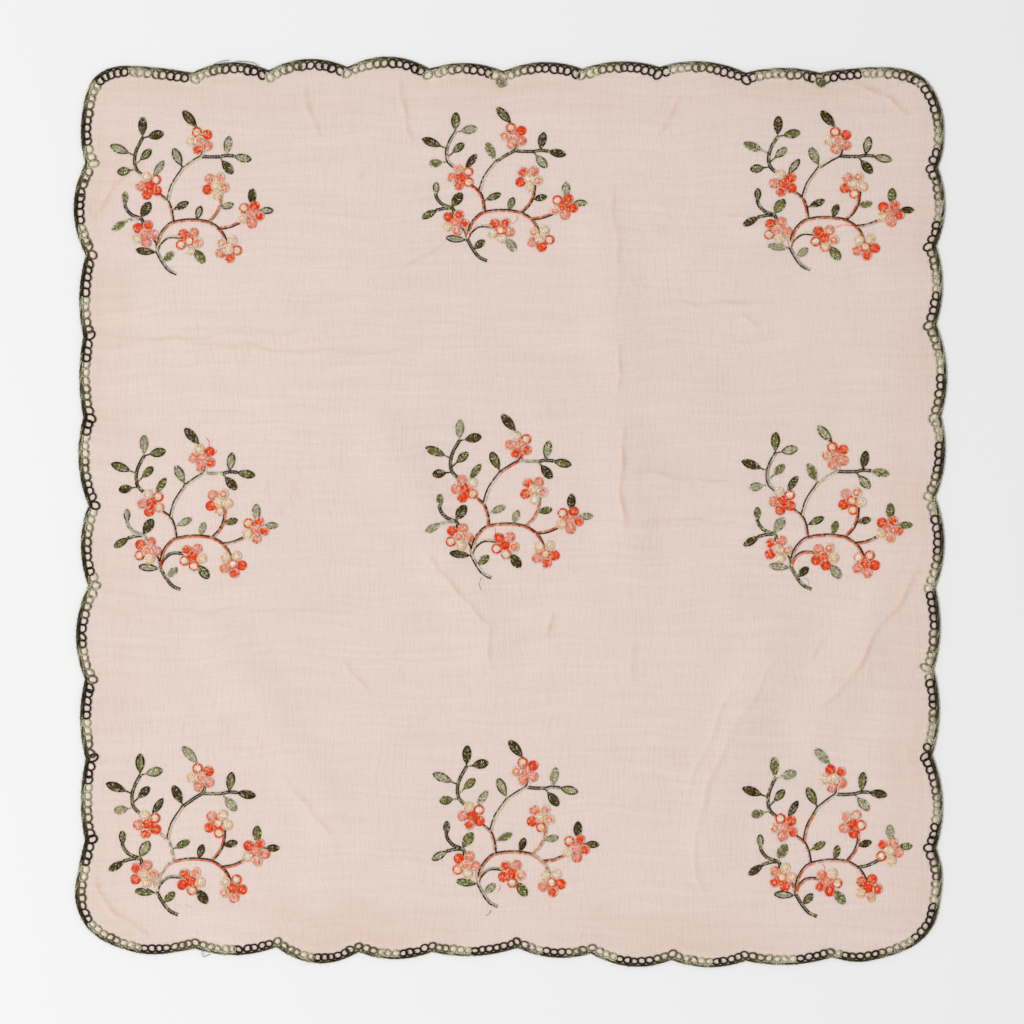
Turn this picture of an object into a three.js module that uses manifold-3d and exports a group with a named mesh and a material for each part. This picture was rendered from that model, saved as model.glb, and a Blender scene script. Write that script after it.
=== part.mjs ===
// A square bandana of sheer cloth, laid flat. Its edge is scalloped and finished with a cord. Just inside the
// cord lies a row of small loops, and nine flowering sprigs are embroidered on the cloth in three rows.
// Millimetres, +Z up. The origin is on the surface that the cloth lies on, under the middle of the bandana.
import * as THREE from "three";
import { mergeVertices } from "three/addons/utils/BufferGeometryUtils.js";
import Module from "manifold-3d";

const wasm = await Module();
wasm.setup();

// Driving dimensions.
const GAP = 0.3; // clearance between neighbouring pieces
const CLOTH_THICK = 1.0;
const GRID_CELL = 24; // spacing of the cloth's own points
const GRID_HALF = { x: 240, y: 250 }; // the part of the cloth that the even grid covers
const CORD_RADIUS = 1.15;
const CORD_SIDES = 6;
const SCALLOP_STEPS = 4;
const CORNER_STEPS = 11;
const LOOP_BAND = { width: 4.4, thick: 0.8 };
const STITCH_THICK = 0.8; // how far the embroidery stands above its own underside
const STEM_WIDTH = 1.9;
const BLOSSOM = { petal: 8.5, dip: 6.2 }; // from a blossom's middle to its petals' ends, and between them
const LEAF_WIDEST = 0.55; // how far along a leaf its outline is widest
const FOLD_HALF_WIDTH = 26;
const FLAT_MARGIN = 22; // folds die away over this distance before the grid's border

// The four sides, in counter-clockwise order from the bottom one. "along" runs in that direction from the
// side's middle. A notch lies "reach" from the middle of the cloth, and the scallop after it swells to
// "crest". "corner" holds the points of the rounded corner that follows the side's last notch.
const SIDES = [
  {
    name: "bottom",
    notches: [
      { along: -195, reach: 271, crest: 275 },
      { along: -145, reach: 270, crest: 280 },
      { along: -94, reach: 273, crest: 277.5 },
      { along: -48.5, reach: 273, crest: 275.5 },
      { along: 4.5, reach: 270.5, crest: 276.5 },
      { along: 50, reach: 274, crest: 282 },
      { along: 100, reach: 278, crest: 282.5 },
      { along: 146, reach: 278.5, crest: 281 },
      { along: 199, reach: 276.5 },
    ],
    corner: [
      { along: 219, reach: 279 },
      { along: 247, reach: 271 },
      { along: 262, reach: 257 },
      { along: 267, reach: 237 },
      { along: 267.5, reach: 222 },
    ],
  },
  {
    name: "right",
    notches: [
      { along: -208.5, reach: 264, crest: 268 },
      { along: -151, reach: 261.5, crest: 266 },
      { along: -98, reach: 262.5, crest: 266.5 },
      { along: -47.5, reach: 263.5, crest: 269 },
      { along: 8.5, reach: 263.5, crest: 269.5 },
      { along: 59, reach: 267, crest: 270.5 },
      { along: 116, reach: 264, crest: 268 },
      { along: 164.5, reach: 264, crest: 269.5 },
      { along: 213, reach: 265 },
    ],
    corner: [
      { along: 226, reach: 268.5 },
      { along: 246, reach: 268 },
      { along: 264, reach: 260.5 },
      { along: 273, reach: 248 },
      { along: 275.5, reach: 225 },
    ],
  },
  {
    name: "top",
    notches: [
      { along: -192, reach: 272, crest: 275 },
      { along: -146, reach: 272, crest: 279 },
      { along: -92.5, reach: 275.5, crest: 279 },
      { along: -44.5, reach: 274.5, crest: 278.5 },
      { along: 4.5, reach: 273, crest: 278 },
      { along: 50, reach: 274.5, crest: 282 },
      { along: 101, reach: 275.5, crest: 280.5 },
      { along: 150, reach: 273.5, crest: 278.5 },
      { along: 197, reach: 272 },
    ],
    corner: [
      { along: 218, reach: 275 },
      { along: 243, reach: 276 },
      { along: 257.5, reach: 269 },
      { along: 264, reach: 254 },
      { along: 266, reach: 233 },
    ],
  },
  {
    name: "left",
    notches: [
      { along: -215.5, reach: 263.5, crest: 270.5 },
      { along: -159, reach: 263, crest: 267 },
      { along: -108.5, reach: 264.5, crest: 267 },
      { along: -58.5, reach: 264.5, crest: 267.5 },
      { along: -4, reach: 261.5, crest: 266 },
      { along: 46, reach: 261.5, crest: 269 },
      { along: 104, reach: 263.5, crest: 266.5 },
      { along: 153.5, reach: 263, crest: 266 },
      { along: 203.5, reach: 263.5 },
    ],
    corner: [
      { along: 219, reach: 267 },
      { along: 240, reach: 269.5 },
      { along: 258, reach: 262 },
      { along: 269, reach: 246 },
      { along: 274.5, reach: 222 },
    ],
  },
];

// The soft folds that the cloth lies in, each a low ridge from one point to another.
const FOLDS = [
  { from: [59, 172], to: [68, 76], height: 1.0 },
  { from: [70, 52], to: [73, -22], height: 1.4 },
  { from: [20, 66], to: [118, 73], height: 0.9 },
  { from: [68, 20], to: [143, 13], height: 0.9 },
  { from: [-78, 48], to: [-12, -80], height: 1.1 },
  { from: [165, -78], to: [121, -198], height: 1.4 },
  { from: [232, -60], to: [192, -130], height: 1.1 },
  { from: [-177, -80], to: [-111, -192], height: 1.0 },
  { from: [-235, 120], to: [-120, 108], height: 0.7 },
];

// One sprig, measured from the fork where its stems part. Each stem runs through a few points.
const STEMS = [
  { name: "foot", through: [[12, -14.5], [5, -9], [0, 0]] },
  { name: "arch", through: [[0, 0], [3, 11], [10.5, 17.6], [22, 19.5], [33, 17.6], [41, 12.5], [45, 3]] },
  { name: "to the right blossom", through: [[40, 13], [47.5, 14.3], [57, 19]] },
  { name: "to the inner blossom", through: [[33, 17.6], [40, 25], [41.5, 36]] },
  { name: "to the left blossom", through: [[10.5, 17.6], [10, 25], [7.5, 31.5], [1, 37]] },
  { name: "to the top blossom", through: [[7.5, 31.5], [12, 45], [30.5, 58.5], [31, 64]] },
  { name: "right twig", through: [[30.5, 58.3], [51, 58.3]] },
  { name: "to the low middle blossom", through: [[0, 0], [6, 8], [17, 8]] },
  { name: "to the low left blossom", through: [[0, 0], [-4, 9]] },
  { name: "top left twig", through: [[-6.5, 45], [-11.5, 53], [-11, 63], [-7.5, 73]] },
  { name: "low left twig", through: [[-8, 15], [-11, 21], [-19.9, 29.7]] },
  { name: "low left stalk", through: [[-10.5, 20], [-20, 19.3]] },
];

// Where each blossom's middle lies, and the direction in which its first petal points, in degrees.
const BLOSSOMS = [
  { at: [-7.7, 11], turn: 66 },
  { at: [-4, 40.7], turn: 110 },
  { at: [29.2, 68], turn: 109 },
  { at: [38.5, 39.8], turn: 131 },
  { at: [60.6, 21.7], turn: 134 },
  { at: [45.8, 0.4], turn: 134 },
  { at: [20.9, 6], turn: 131 },
];

// Leaves, each from its foot, which is on a stem or blossom, to its tip.
const LEAVES = [
  { foot: [-11.2, 60], tip: [-28.5, 66.8], width: 5 },
  { foot: [-7.7, 72.5], tip: [-7.2, 84], width: 5.5 },
  { foot: [-8.4, 71], tip: [6.3, 74], width: 5.5 },
  { foot: [-11.3, 56], tip: [-2, 63.7], width: 5 },
  { foot: [-11.2, 52.3], tip: [-24.4, 49.8], width: 5.3 },
  { foot: [-1.5, 46], tip: [5.8, 56.4], width: 4.8 },
  { foot: [18, 49.4], tip: [12.2, 64], width: 5.5 },
  { foot: [28, 73.5], tip: [18.6, 87.3], width: 5.5 },
  { foot: [45.9, 58.3], tip: [48.1, 71], width: 5.3 },
  { foot: [50.5, 58.3], tip: [62, 55.6], width: 5.3 },
  { foot: [42, 58.3], tip: [50, 47.2], width: 5.6 },
  { foot: [-19.6, 29.3], tip: [-19.9, 38.2], width: 4.2 },
  { foot: [-10.5, 20.3], tip: [-3.1, 30.8], width: 6.5 },
  { foot: [-19.5, 19.4], tip: [-28.9, 14], width: 4.8 },
  { foot: [0.3, -0.5], tip: [-13.9, 1.4], width: 5 },
  { foot: [3.6, -6.5], tip: [10.8, 0], width: 5 },
  { foot: [23, 2], tip: [30, -8], width: 6 },
  { foot: [10, 25.5], tip: [21.2, 30.2], width: 4.6 },
  { foot: [26, 18.8], tip: [28.8, 28], width: 4.6 },
  { foot: [40.3, 26.5], tip: [50.1, 28.5], width: 4.6 },
  { foot: [61.5, 27], tip: [62, 38.2], width: 5 },
  { foot: [65.5, 24], tip: [75.3, 23.8], width: 4.4 },
];

// Where each sprig's fork lies on the cloth, how far the sprig is turned, in degrees, and how much its
// stitching is stretched or drawn in, across and upwards.
const SPRIGS = [
  { name: "sprig_top_left", fork: [-219, 161.5], turn: 1.3, across: 0.966, up: 0.998 },
  { name: "sprig_top_middle", fork: [-26.5, 169], turn: 0.1, across: 0.987, up: 0.94 },
  { name: "sprig_top_right", fork: [173.5, 164], turn: 0, across: 1.02, up: 0.973 },
  { name: "sprig_middle_left", fork: [-217, -34.5], turn: 2.1, across: 0.984, up: 0.986 },
  { name: "sprig_centre", fork: [-24, -26.5], turn: 0, across: 1, up: 1 },
  { name: "sprig_middle_right", fork: [174, -34], turn: 1.6, across: 1.01, up: 1 },
  { name: "sprig_bottom_left", fork: [-219, -235.5], turn: 2.1, across: 1.023, up: 1.028 },
  { name: "sprig_bottom_middle", fork: [-20, -230], turn: -0.3, across: 0.997, up: 1.019 },
  { name: "sprig_bottom_right", fork: [177, -237], turn: 4.3, across: 0.987, up: 1.026 },
];

const FABRIC = new THREE.MeshStandardMaterial({ color: 0xe6d0c5, roughness: 0.9, metalness: 0 });
const EDGE_YARN = new THREE.MeshStandardMaterial({ color: 0x5c6644, roughness: 0.85, metalness: 0 });
const LOOP_YARN = new THREE.MeshStandardMaterial({ color: 0x7d8663, roughness: 0.85, metalness: 0 });
const SPRIG_THREAD = new THREE.MeshStandardMaterial({ color: 0xd9785f, roughness: 0.75, metalness: 0 });

const clamp = THREE.MathUtils.clamp;
const radians = THREE.MathUtils.degToRad;

// The edge

function place({ along, reach }, quarterTurns) {
  const turned = new THREE.Vector2(along, -reach);
  return turned.rotateAround(new THREE.Vector2(), (quarterTurns * Math.PI) / 2);
}

function scallop(notch, next) {
  const points = [];
  for (let step = 0; step < SCALLOP_STEPS; step++) {
    const t = step / SCALLOP_STEPS;
    const chord = THREE.MathUtils.lerp(notch.reach, next.reach, t);
    const rise = notch.crest - (notch.reach + next.reach) / 2;
    points.push({
      along: THREE.MathUtils.lerp(notch.along, next.along, t),
      reach: chord + rise * 4 * t * (1 - t),
    });
  }
  return points;
}

// The bandana's outline: scallops along each side, then a smooth corner, all the way round.
function edgeLine() {
  const line = [];
  SIDES.forEach((side, k) => {
    const last = side.notches.length - 1;
    for (let i = 0; i < last; i++) {
      line.push(...scallop(side.notches[i], side.notches[i + 1]).map((p) => place(p, k)));
    }
    const following = SIDES[(k + 1) % SIDES.length];
    const bend = new THREE.SplineCurve([
      place(side.notches[last], k),
      ...side.corner.map((p) => place(p, k)),
      place(following.notches[0], k + 1),
    ]);
    line.push(...bend.getPoints(CORNER_STEPS).slice(0, CORNER_STEPS));
  });
  const box = new THREE.Box2().setFromPoints(line);
  const middle = box.getCenter(new THREE.Vector2());
  return line.map((p) => p.sub(middle));
}

// Moves each point of a closed counter-clockwise line inwards, along the bisector of its two edges.
function inset(line, distance) {
  const count = line.length;
  return line.map((p, i) => {
    const before = p.clone().sub(line[(i + count - 1) % count]).normalize();
    const after = line[(i + 1) % count].clone().sub(p).normalize();
    const inward = new THREE.Vector2(-(before.y + after.y), before.x + after.x).normalize();
    const stretch = 1 / Math.max(0.7, inward.dot(new THREE.Vector2(-after.y, after.x)));
    return p.clone().addScaledVector(inward, distance * stretch);
  });
}

// A closed ring of matching sections, one section of 3D points for each step round the edge.
function ringGeometry(sections) {
  const sides = sections[0].length;
  const count = sections.length;
  const positions = sections.flat().flatMap((p) => [p.x, p.y, p.z]);
  const index = [];
  for (let i = 0; i < count; i++) {
    const next = (i + 1) % count;
    for (let k = 0; k < sides; k++) {
      const along = (k + 1) % sides;
      const a = i * sides + k;
      const b = next * sides + k;
      const c = next * sides + along;
      const d = i * sides + along;
      index.push(a, b, c, a, c, d);
    }
  }
  return indexed(positions, index);
}

function indexed(positions, index) {
  const geometry = new THREE.BufferGeometry();
  geometry.setAttribute("position", new THREE.Float32BufferAttribute(positions, 3));
  geometry.setIndex(index);
  geometry.computeVertexNormals();
  return geometry;
}

// The cord has a six-sided section with a flat underside, so that it rests level on the surface.
function cordGeometry(line) {
  const flat = CORD_RADIUS * Math.cos(Math.PI / CORD_SIDES);
  const rings = [];
  for (let k = 0; k < CORD_SIDES; k++) {
    const angle = (k * 2 * Math.PI) / CORD_SIDES;
    const moved = inset(line, CORD_RADIUS - CORD_RADIUS * Math.cos(angle));
    rings.push(moved.map((p) => new THREE.Vector3(p.x, p.y, flat + CORD_RADIUS * Math.sin(angle))));
  }
  return ringGeometry(line.map((_, i) => rings.map((ring) => ring[i])));
}

// The row of loops, as a flat band on the cloth's margin.
function loopBandGeometry(line) {
  const outer = inset(line, 2 * CORD_RADIUS + GAP);
  const inner = inset(line, 2 * CORD_RADIUS + GAP + LOOP_BAND.width);
  const low = CLOTH_THICK + GAP;
  const high = low + LOOP_BAND.thick;
  const at = (p, z) => new THREE.Vector3(p.x, p.y, z);
  return ringGeometry(
    line.map((_, i) => [at(outer[i], low), at(outer[i], high), at(inner[i], high), at(inner[i], low)]),
  );
}

// The cloth

// A ridge's height at a point: full along its middle line, and none from the fold's half width outwards.
function ridge(fold, x, y) {
  const line = new THREE.Line3(
    new THREE.Vector3(...fold.from, 0),
    new THREE.Vector3(...fold.to, 0),
  );
  const point = new THREE.Vector3(x, y, 0);
  const nearest = line.closestPointToPoint(point, true, new THREE.Vector3());
  const share = clamp(nearest.distanceTo(point) / FOLD_HALF_WIDTH, 0, 1);
  return fold.height * Math.cos((share * Math.PI) / 2) ** 2;
}

function rise(x, y) {
  const margin = Math.min(GRID_HALF.x - Math.abs(x), GRID_HALF.y - Math.abs(y));
  const fade = THREE.MathUtils.smoothstep(margin, 0, FLAT_MARGIN);
  return fade * Math.max(...FOLDS.map((fold) => ridge(fold, x, y)));
}

const COLUMNS = Math.round((2 * GRID_HALF.x) / GRID_CELL);
const ROWS = Math.round((2 * GRID_HALF.y) / GRID_CELL);

function gridPoint(column, row) {
  const x = -GRID_HALF.x + (2 * GRID_HALF.x * column) / COLUMNS;
  const y = -GRID_HALF.y + (2 * GRID_HALF.y * row) / ROWS;
  return new THREE.Vector3(x, y, rise(x, y));
}

// How high the cloth's underside lies at a point, on the flat facets between the grid's points.
function lift(x, y) {
  const u = clamp(((x + GRID_HALF.x) / (2 * GRID_HALF.x)) * COLUMNS, 0, COLUMNS - 1e-6);
  const v = clamp(((y + GRID_HALF.y) / (2 * GRID_HALF.y)) * ROWS, 0, ROWS - 1e-6);
  const column = Math.floor(u);
  const row = Math.floor(v);
  const s = u - column;
  const t = v - row;
  const z = (i, j) => gridPoint(column + i, row + j).z;
  return s > t
    ? z(0, 0) + s * (z(1, 0) - z(0, 0)) + t * (z(1, 1) - z(1, 0))
    : z(0, 0) + t * (z(0, 1) - z(0, 0)) + s * (z(1, 1) - z(0, 1));
}

// The grid's own border, counter-clockwise, as numbers of grid points.
function gridBorder(number) {
  const border = [];
  for (let i = 0; i < COLUMNS; i++) border.push(number(i, 0));
  for (let j = 0; j < ROWS; j++) border.push(number(COLUMNS, j));
  for (let i = COLUMNS; i > 0; i--) border.push(number(i, ROWS));
  for (let j = ROWS; j > 0; j--) border.push(number(0, j));
  return border;
}

// The cloth is one sheet: an even grid in the middle, a strip of triangles from there to the scalloped edge,
// the same again underneath, and a narrow wall round the edge.
function clothGeometry(line) {
  const edge = inset(line, 2 * CORD_RADIUS + GAP);
  const lower = [];
  for (let j = 0; j <= ROWS; j++) {
    for (let i = 0; i <= COLUMNS; i++) lower.push(gridPoint(i, j));
  }
  const number = (i, j) => j * (COLUMNS + 1) + i;
  const border = gridBorder(number);
  const firstOfEdge = lower.length;
  lower.push(...edge.map((p) => new THREE.Vector3(p.x, p.y, 0)));

  const faces = [];
  for (let j = 0; j < ROWS; j++) {
    for (let i = 0; i < COLUMNS; i++) {
      faces.push([number(i, j), number(i + 1, j), number(i + 1, j + 1)]);
      faces.push([number(i, j), number(i + 1, j + 1), number(i, j + 1)]);
    }
  }
  const hole = border.map((n) => new THREE.Vector2(lower[n].x, lower[n].y));
  const ring = [...edge.map((_, i) => firstOfEdge + i), ...border];
  for (const face of THREE.ShapeUtils.triangulateShape(edge, [hole])) {
    const [a, b, c] = face.map((n) => ring[n]);
    const turn = new THREE.Triangle(flattened(lower[a]), flattened(lower[b]), flattened(lower[c]));
    faces.push(turn.getNormal(new THREE.Vector3()).z > 0 ? [a, b, c] : [a, c, b]);
  }

  const upper = lower.length;
  const points = [...lower, ...lower.map((p) => new THREE.Vector3(p.x, p.y, p.z + CLOTH_THICK))];
  const index = faces.flatMap(([a, b, c]) => [a, c, b, a + upper, b + upper, c + upper]);
  edge.forEach((_, i) => {
    const a = firstOfEdge + i;
    const b = firstOfEdge + ((i + 1) % edge.length);
    index.push(a, b, b + upper, a, b + upper, a + upper);
  });
  return indexed(points.flatMap((p) => [p.x, p.y, p.z]), index);
}

function flattened(point) {
  return new THREE.Vector3(point.x, point.y, 0);
}

// The embroidery

function manifold(geometry) {
  const plain = geometry.clone();
  plain.deleteAttribute("normal");
  plain.deleteAttribute("uv");
  const merged = mergeVertices(plain, 1e-4);
  return new wasm.Manifold(
    new wasm.Mesh({
      numProp: 3,
      vertProperties: merged.attributes.position.array,
      triVerts: new Uint32Array(merged.index.array),
    }),
  );
}

function slab(outline) {
  const options = { depth: STITCH_THICK, bevelEnabled: false };
  return manifold(new THREE.ExtrudeGeometry(new THREE.Shape(outline), options));
}

// A stem is a ribbon of even width through its points.
function stemSlab({ through }) {
  const line = through.map((p) => new THREE.Vector2(...p));
  const sides = line.map((p, i) => {
    const ahead = line[Math.min(i + 1, line.length - 1)].clone().sub(line[Math.max(i - 1, 0)]).normalize();
    return new THREE.Vector2(ahead.y, -ahead.x).multiplyScalar(STEM_WIDTH / 2);
  });
  const right = line.map((p, i) => p.clone().add(sides[i]));
  const left = line.map((p, i) => p.clone().sub(sides[i]));
  return slab([...right, ...left.reverse()]);
}

// A blossom's outline goes out to each of its five round petals and back in between them.
function blossomSlab({ at, turn }) {
  const petals = 5;
  const outline = [];
  for (let k = 0; k < 2 * petals; k++) {
    const angle = radians(turn + (180 / petals) * k);
    const reach = k % 2 === 0 ? BLOSSOM.petal : BLOSSOM.dip;
    outline.push(new THREE.Vector2(at[0] + reach * Math.cos(angle), at[1] + reach * Math.sin(angle)));
  }
  return slab(outline);
}

// A leaf's outline is widest a little past its middle.
function leafSlab({ foot, tip, width }) {
  const start = new THREE.Vector2(...foot);
  const end = new THREE.Vector2(...tip);
  const middle = start.clone().lerp(end, LEAF_WIDEST);
  const along = end.clone().sub(start).normalize().multiplyScalar(width / 2);
  const side = new THREE.Vector2(along.y, -along.x);
  return slab([start, middle.clone().add(side), end, middle.clone().sub(side)]);
}

// One sprig's stems, blossoms and leaves are stitched into each other, so they are one solid.
function sprigSolid() {
  const pieces = [...STEMS.map(stemSlab), ...BLOSSOMS.map(blossomSlab), ...LEAVES.map(leafSlab)];
  return pieces.reduce((whole, piece) => whole.add(piece));
}

// Lays a copy of the sprig on the cloth: set in its place, turned, and following the folds under it.
function sprigGeometry(solid, { fork, turn, across, up }) {
  const mesh = solid.getMesh();
  const angle = radians(turn);
  const positions = [];
  for (let i = 0; i < mesh.vertProperties.length; i += mesh.numProp) {
    const [u, v, w] = mesh.vertProperties.subarray(i, i + 3);
    const flat = new THREE.Vector2(u * across, v * up).rotateAround(new THREE.Vector2(), angle);
    const x = fork[0] + flat.x;
    const y = fork[1] + flat.y;
    positions.push(x, y, lift(x, y) + CLOTH_THICK + GAP + w);
  }
  return indexed(positions, Array.from(mesh.triVerts));
}

function named(name, geometry, material) {
  const mesh = new THREE.Mesh(geometry, material);
  mesh.name = name;
  return mesh;
}

const bandana = new THREE.Group();
const line = edgeLine();
bandana.add(named("cloth_panel", clothGeometry(line), FABRIC));
bandana.add(named("edge_cord", cordGeometry(line), EDGE_YARN));
bandana.add(named("loop_row", loopBandGeometry(line), LOOP_YARN));
const sprig = sprigSolid();
for (const row of SPRIGS) bandana.add(named(row.name, sprigGeometry(sprig, row), SPRIG_THREAD));

export default bandana;
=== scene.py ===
import math
from functools import lru_cache

import bpy
import numpy as np
from mathutils.geometry import delaunay_2d_cdt
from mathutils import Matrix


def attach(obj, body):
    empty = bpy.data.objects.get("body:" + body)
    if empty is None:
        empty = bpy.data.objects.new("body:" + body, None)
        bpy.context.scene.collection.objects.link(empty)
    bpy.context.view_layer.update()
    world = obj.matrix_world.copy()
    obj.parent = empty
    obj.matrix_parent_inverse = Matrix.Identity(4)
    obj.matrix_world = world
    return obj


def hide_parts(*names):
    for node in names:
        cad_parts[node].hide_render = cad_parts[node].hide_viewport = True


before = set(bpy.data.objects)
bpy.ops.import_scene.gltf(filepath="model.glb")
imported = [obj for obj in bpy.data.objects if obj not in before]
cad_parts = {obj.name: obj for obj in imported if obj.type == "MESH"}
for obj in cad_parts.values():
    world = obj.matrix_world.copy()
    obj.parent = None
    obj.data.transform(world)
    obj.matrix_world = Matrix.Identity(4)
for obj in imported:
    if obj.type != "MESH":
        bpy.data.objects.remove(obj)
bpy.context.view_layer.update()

bl_info = {
    "name": "Embroidered bandana",
    "version": (1, 0, 0),
    "blender": (4, 5, 0),
    "location": "3D View > Sidebar > Bandana",
    "description": "A sheer square bandana with a looped edge and embroidered sprigs, laid flat",
    "category": "Add Mesh",
}

MM = 0.001
SEED = 20

# Sizes are in millimetres up to where a mesh is made. They are the real ones, and the solids have them too.
HALF_WIDTH, HALF_HEIGHT = 270.5, 282  # from the bandana's middle to its edges, across and up
CLOTH_LEVEL = 0.27  # height of the cloth's middle layer above the surface, were it without ripples
RIPPLE_ROOM = 0.14  # how much higher it lies to leave room for them
STEPS_PER_SCALLOP = 24
STEPS_PER_CORNER = 90

# The four sides, counter-clockwise from the bottom one. "along" runs in that direction from the side's
# middle. A notch lies "reach" from the middle of the cloth, and the scallop after it swells to "crest".
# "corner" holds the points of the rounded corner that follows the side's last notch.
SIDES = {
    "bottom": {
        "notches": [
            {"along": -195, "reach": 271, "crest": 275},
            {"along": -145, "reach": 270, "crest": 280},
            {"along": -94, "reach": 273, "crest": 277.5},
            {"along": -48.5, "reach": 273, "crest": 275.5},
            {"along": 4.5, "reach": 270.5, "crest": 276.5},
            {"along": 50, "reach": 274, "crest": 282},
            {"along": 100, "reach": 278, "crest": 282.5},
            {"along": 146, "reach": 278.5, "crest": 281},
            {"along": 199, "reach": 276.5},
        ],
        "corner": [
            {"along": 219, "reach": 279},
            {"along": 247, "reach": 271},
            {"along": 262, "reach": 257},
            {"along": 267, "reach": 237},
            {"along": 267.5, "reach": 222},
        ],
    },
    "right": {
        "notches": [
            {"along": -208.5, "reach": 264, "crest": 268},
            {"along": -151, "reach": 261.5, "crest": 266},
            {"along": -98, "reach": 262.5, "crest": 266.5},
            {"along": -47.5, "reach": 263.5, "crest": 269},
            {"along": 8.5, "reach": 263.5, "crest": 269.5},
            {"along": 59, "reach": 267, "crest": 270.5},
            {"along": 116, "reach": 264, "crest": 268},
            {"along": 164.5, "reach": 264, "crest": 269.5},
            {"along": 213, "reach": 265},
        ],
        "corner": [
            {"along": 226, "reach": 268.5},
            {"along": 246, "reach": 268},
            {"along": 264, "reach": 260.5},
            {"along": 273, "reach": 248},
            {"along": 275.5, "reach": 225},
        ],
    },
    "top": {
        "notches": [
            {"along": -192, "reach": 272, "crest": 275},
            {"along": -146, "reach": 272, "crest": 279},
            {"along": -92.5, "reach": 275.5, "crest": 279},
            {"along": -44.5, "reach": 274.5, "crest": 278.5},
            {"along": 4.5, "reach": 273, "crest": 278},
            {"along": 50, "reach": 274.5, "crest": 282},
            {"along": 101, "reach": 275.5, "crest": 280.5},
            {"along": 150, "reach": 273.5, "crest": 278.5},
            {"along": 197, "reach": 272},
        ],
        "corner": [
            {"along": 218, "reach": 275},
            {"along": 243, "reach": 276},
            {"along": 257.5, "reach": 269},
            {"along": 264, "reach": 254},
            {"along": 266, "reach": 233},
        ],
    },
    "left": {
        "notches": [
            {"along": -215.5, "reach": 263.5, "crest": 270.5},
            {"along": -159, "reach": 263, "crest": 267},
            {"along": -108.5, "reach": 264.5, "crest": 267},
            {"along": -58.5, "reach": 264.5, "crest": 267.5},
            {"along": -4, "reach": 261.5, "crest": 266},
            {"along": 46, "reach": 261.5, "crest": 269},
            {"along": 104, "reach": 263.5, "crest": 266.5},
            {"along": 153.5, "reach": 263, "crest": 266},
            {"along": 203.5, "reach": 263.5},
        ],
        "corner": [
            {"along": 219, "reach": 267},
            {"along": 240, "reach": 269.5},
            {"along": 258, "reach": 262},
            {"along": 269, "reach": 246},
            {"along": 274.5, "reach": 222},
        ],
    },
}

# The edge yarn changes from dark to pale over and over. "dark" lists where it is dark along each side, from
# and to. Between two dark stretches it is pale, and it fades slowly "after" each dark stretch or "before" it.
EDGE_YARN_DARK = {
    "bottom": {
        "fades": "after",
        "dark": [(-259, -254), (-231, -210), (-170, -148), (-120, -98), (-71, -51), (-22, 4), (19, 34),
                 (66, 90), (124, 144), (177, 195), (206, 229), (251, 260)],
    },
    "right": {
        "fades": "before",
        "dark": [(-262, -244), (-215, -195), (-166, -144), (-120, -102), (-72, -50), (-24, -2), (26, 45),
                 (73, 88), (119, 135), (162, 181), (209, 226), (249, 266)],
    },
    "top": {
        "fades": "after",
        "dark": [(-263, -251), (-216, -197), (-189, -185), (-153, -128), (-97, -69), (-42, -16), (9, 25),
                 (51, 73), (102, 127), (151, 175), (198, 210), (236, 257)],
    },
    "left": {
        "fades": "before",
        "dark": [(-244, -226), (-198, -176), (-155, -133), (-110, -94), (-65, -48), (-20, -4), (20, 42),
                 (64, 86), (107, 128), (152, 169), (197, 217), (242, 257)],
    },
}

# The yarn's tone over a pale stretch, from the end of one dark stretch, 0, to the start of the next, 1. At a
# side's two ends the pale stretch is taken to be of a fixed length.
PALE_RUN_AT = [0, 0.1, 0.45, 0.62, 0.95, 1]
PALE_RUN_TONE = [0.1, 0.4, 0.52, 0.9, 1, 0.8]
END_RUN = 24

# The cord's strands. A strand's tone is "base" where the yarn is dark and "rise" more where it is palest, and
# its changes come "shift" millimetres early.
STRANDS = [
    {"base": 0.0, "rise": 0.25, "shift": -5},
    {"base": 0.3, "rise": 0.7, "shift": 0},
    {"base": 0.1, "rise": 0.5, "shift": 5},
]

# Where the edge yarn was joined it ends in a small knot. Loose ends of it lie outside the cord.
KNOTS = [
    {"at": (-6, 266), "tone": 0.75},
    {"at": (192, 265.5), "tone": 0.4},
]
LOOSE_ENDS = [
    {"through": [(189, 271), (197, 273), (207, 274.6)], "tone": 0.2},
    {"through": [(-187, 275.5), (-180, 279), (-174, 280)], "tone": 0.3},
    {"through": [(-170, 279.5), (-160, 278.5), (-156, 276.5)], "tone": 0.35},
    {"through": [(-191, -272), (-190, -275.5), (-186, -274)], "tone": 0.3},
]

# The cloth's broad folds, which are those of its solid. They die away towards the edge.
FOLDS = [
    {"from": (59, 172), "to": (68, 76), "height": 1.0},
    {"from": (70, 52), "to": (73, -22), "height": 1.4},
    {"from": (20, 66), "to": (118, 73), "height": 0.9},
    {"from": (68, 20), "to": (143, 13), "height": 0.9},
    {"from": (-78, 48), "to": (-12, -80), "height": 1.1},
    {"from": (165, -78), "to": (121, -198), "height": 1.4},
    {"from": (232, -60), "to": (192, -130), "height": 1.1},
    {"from": (-177, -80), "to": (-111, -192), "height": 1.0},
    {"from": (-235, 120), "to": (-120, 108), "height": 0.7},
]
FOLD_HALF_WIDTH = 26
FOLDS_END = {"x": 240, "y": 250}  # no fold reaches further from the middle
FOLDS_FADE = 22  # and over this last stretch they get lower

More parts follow.
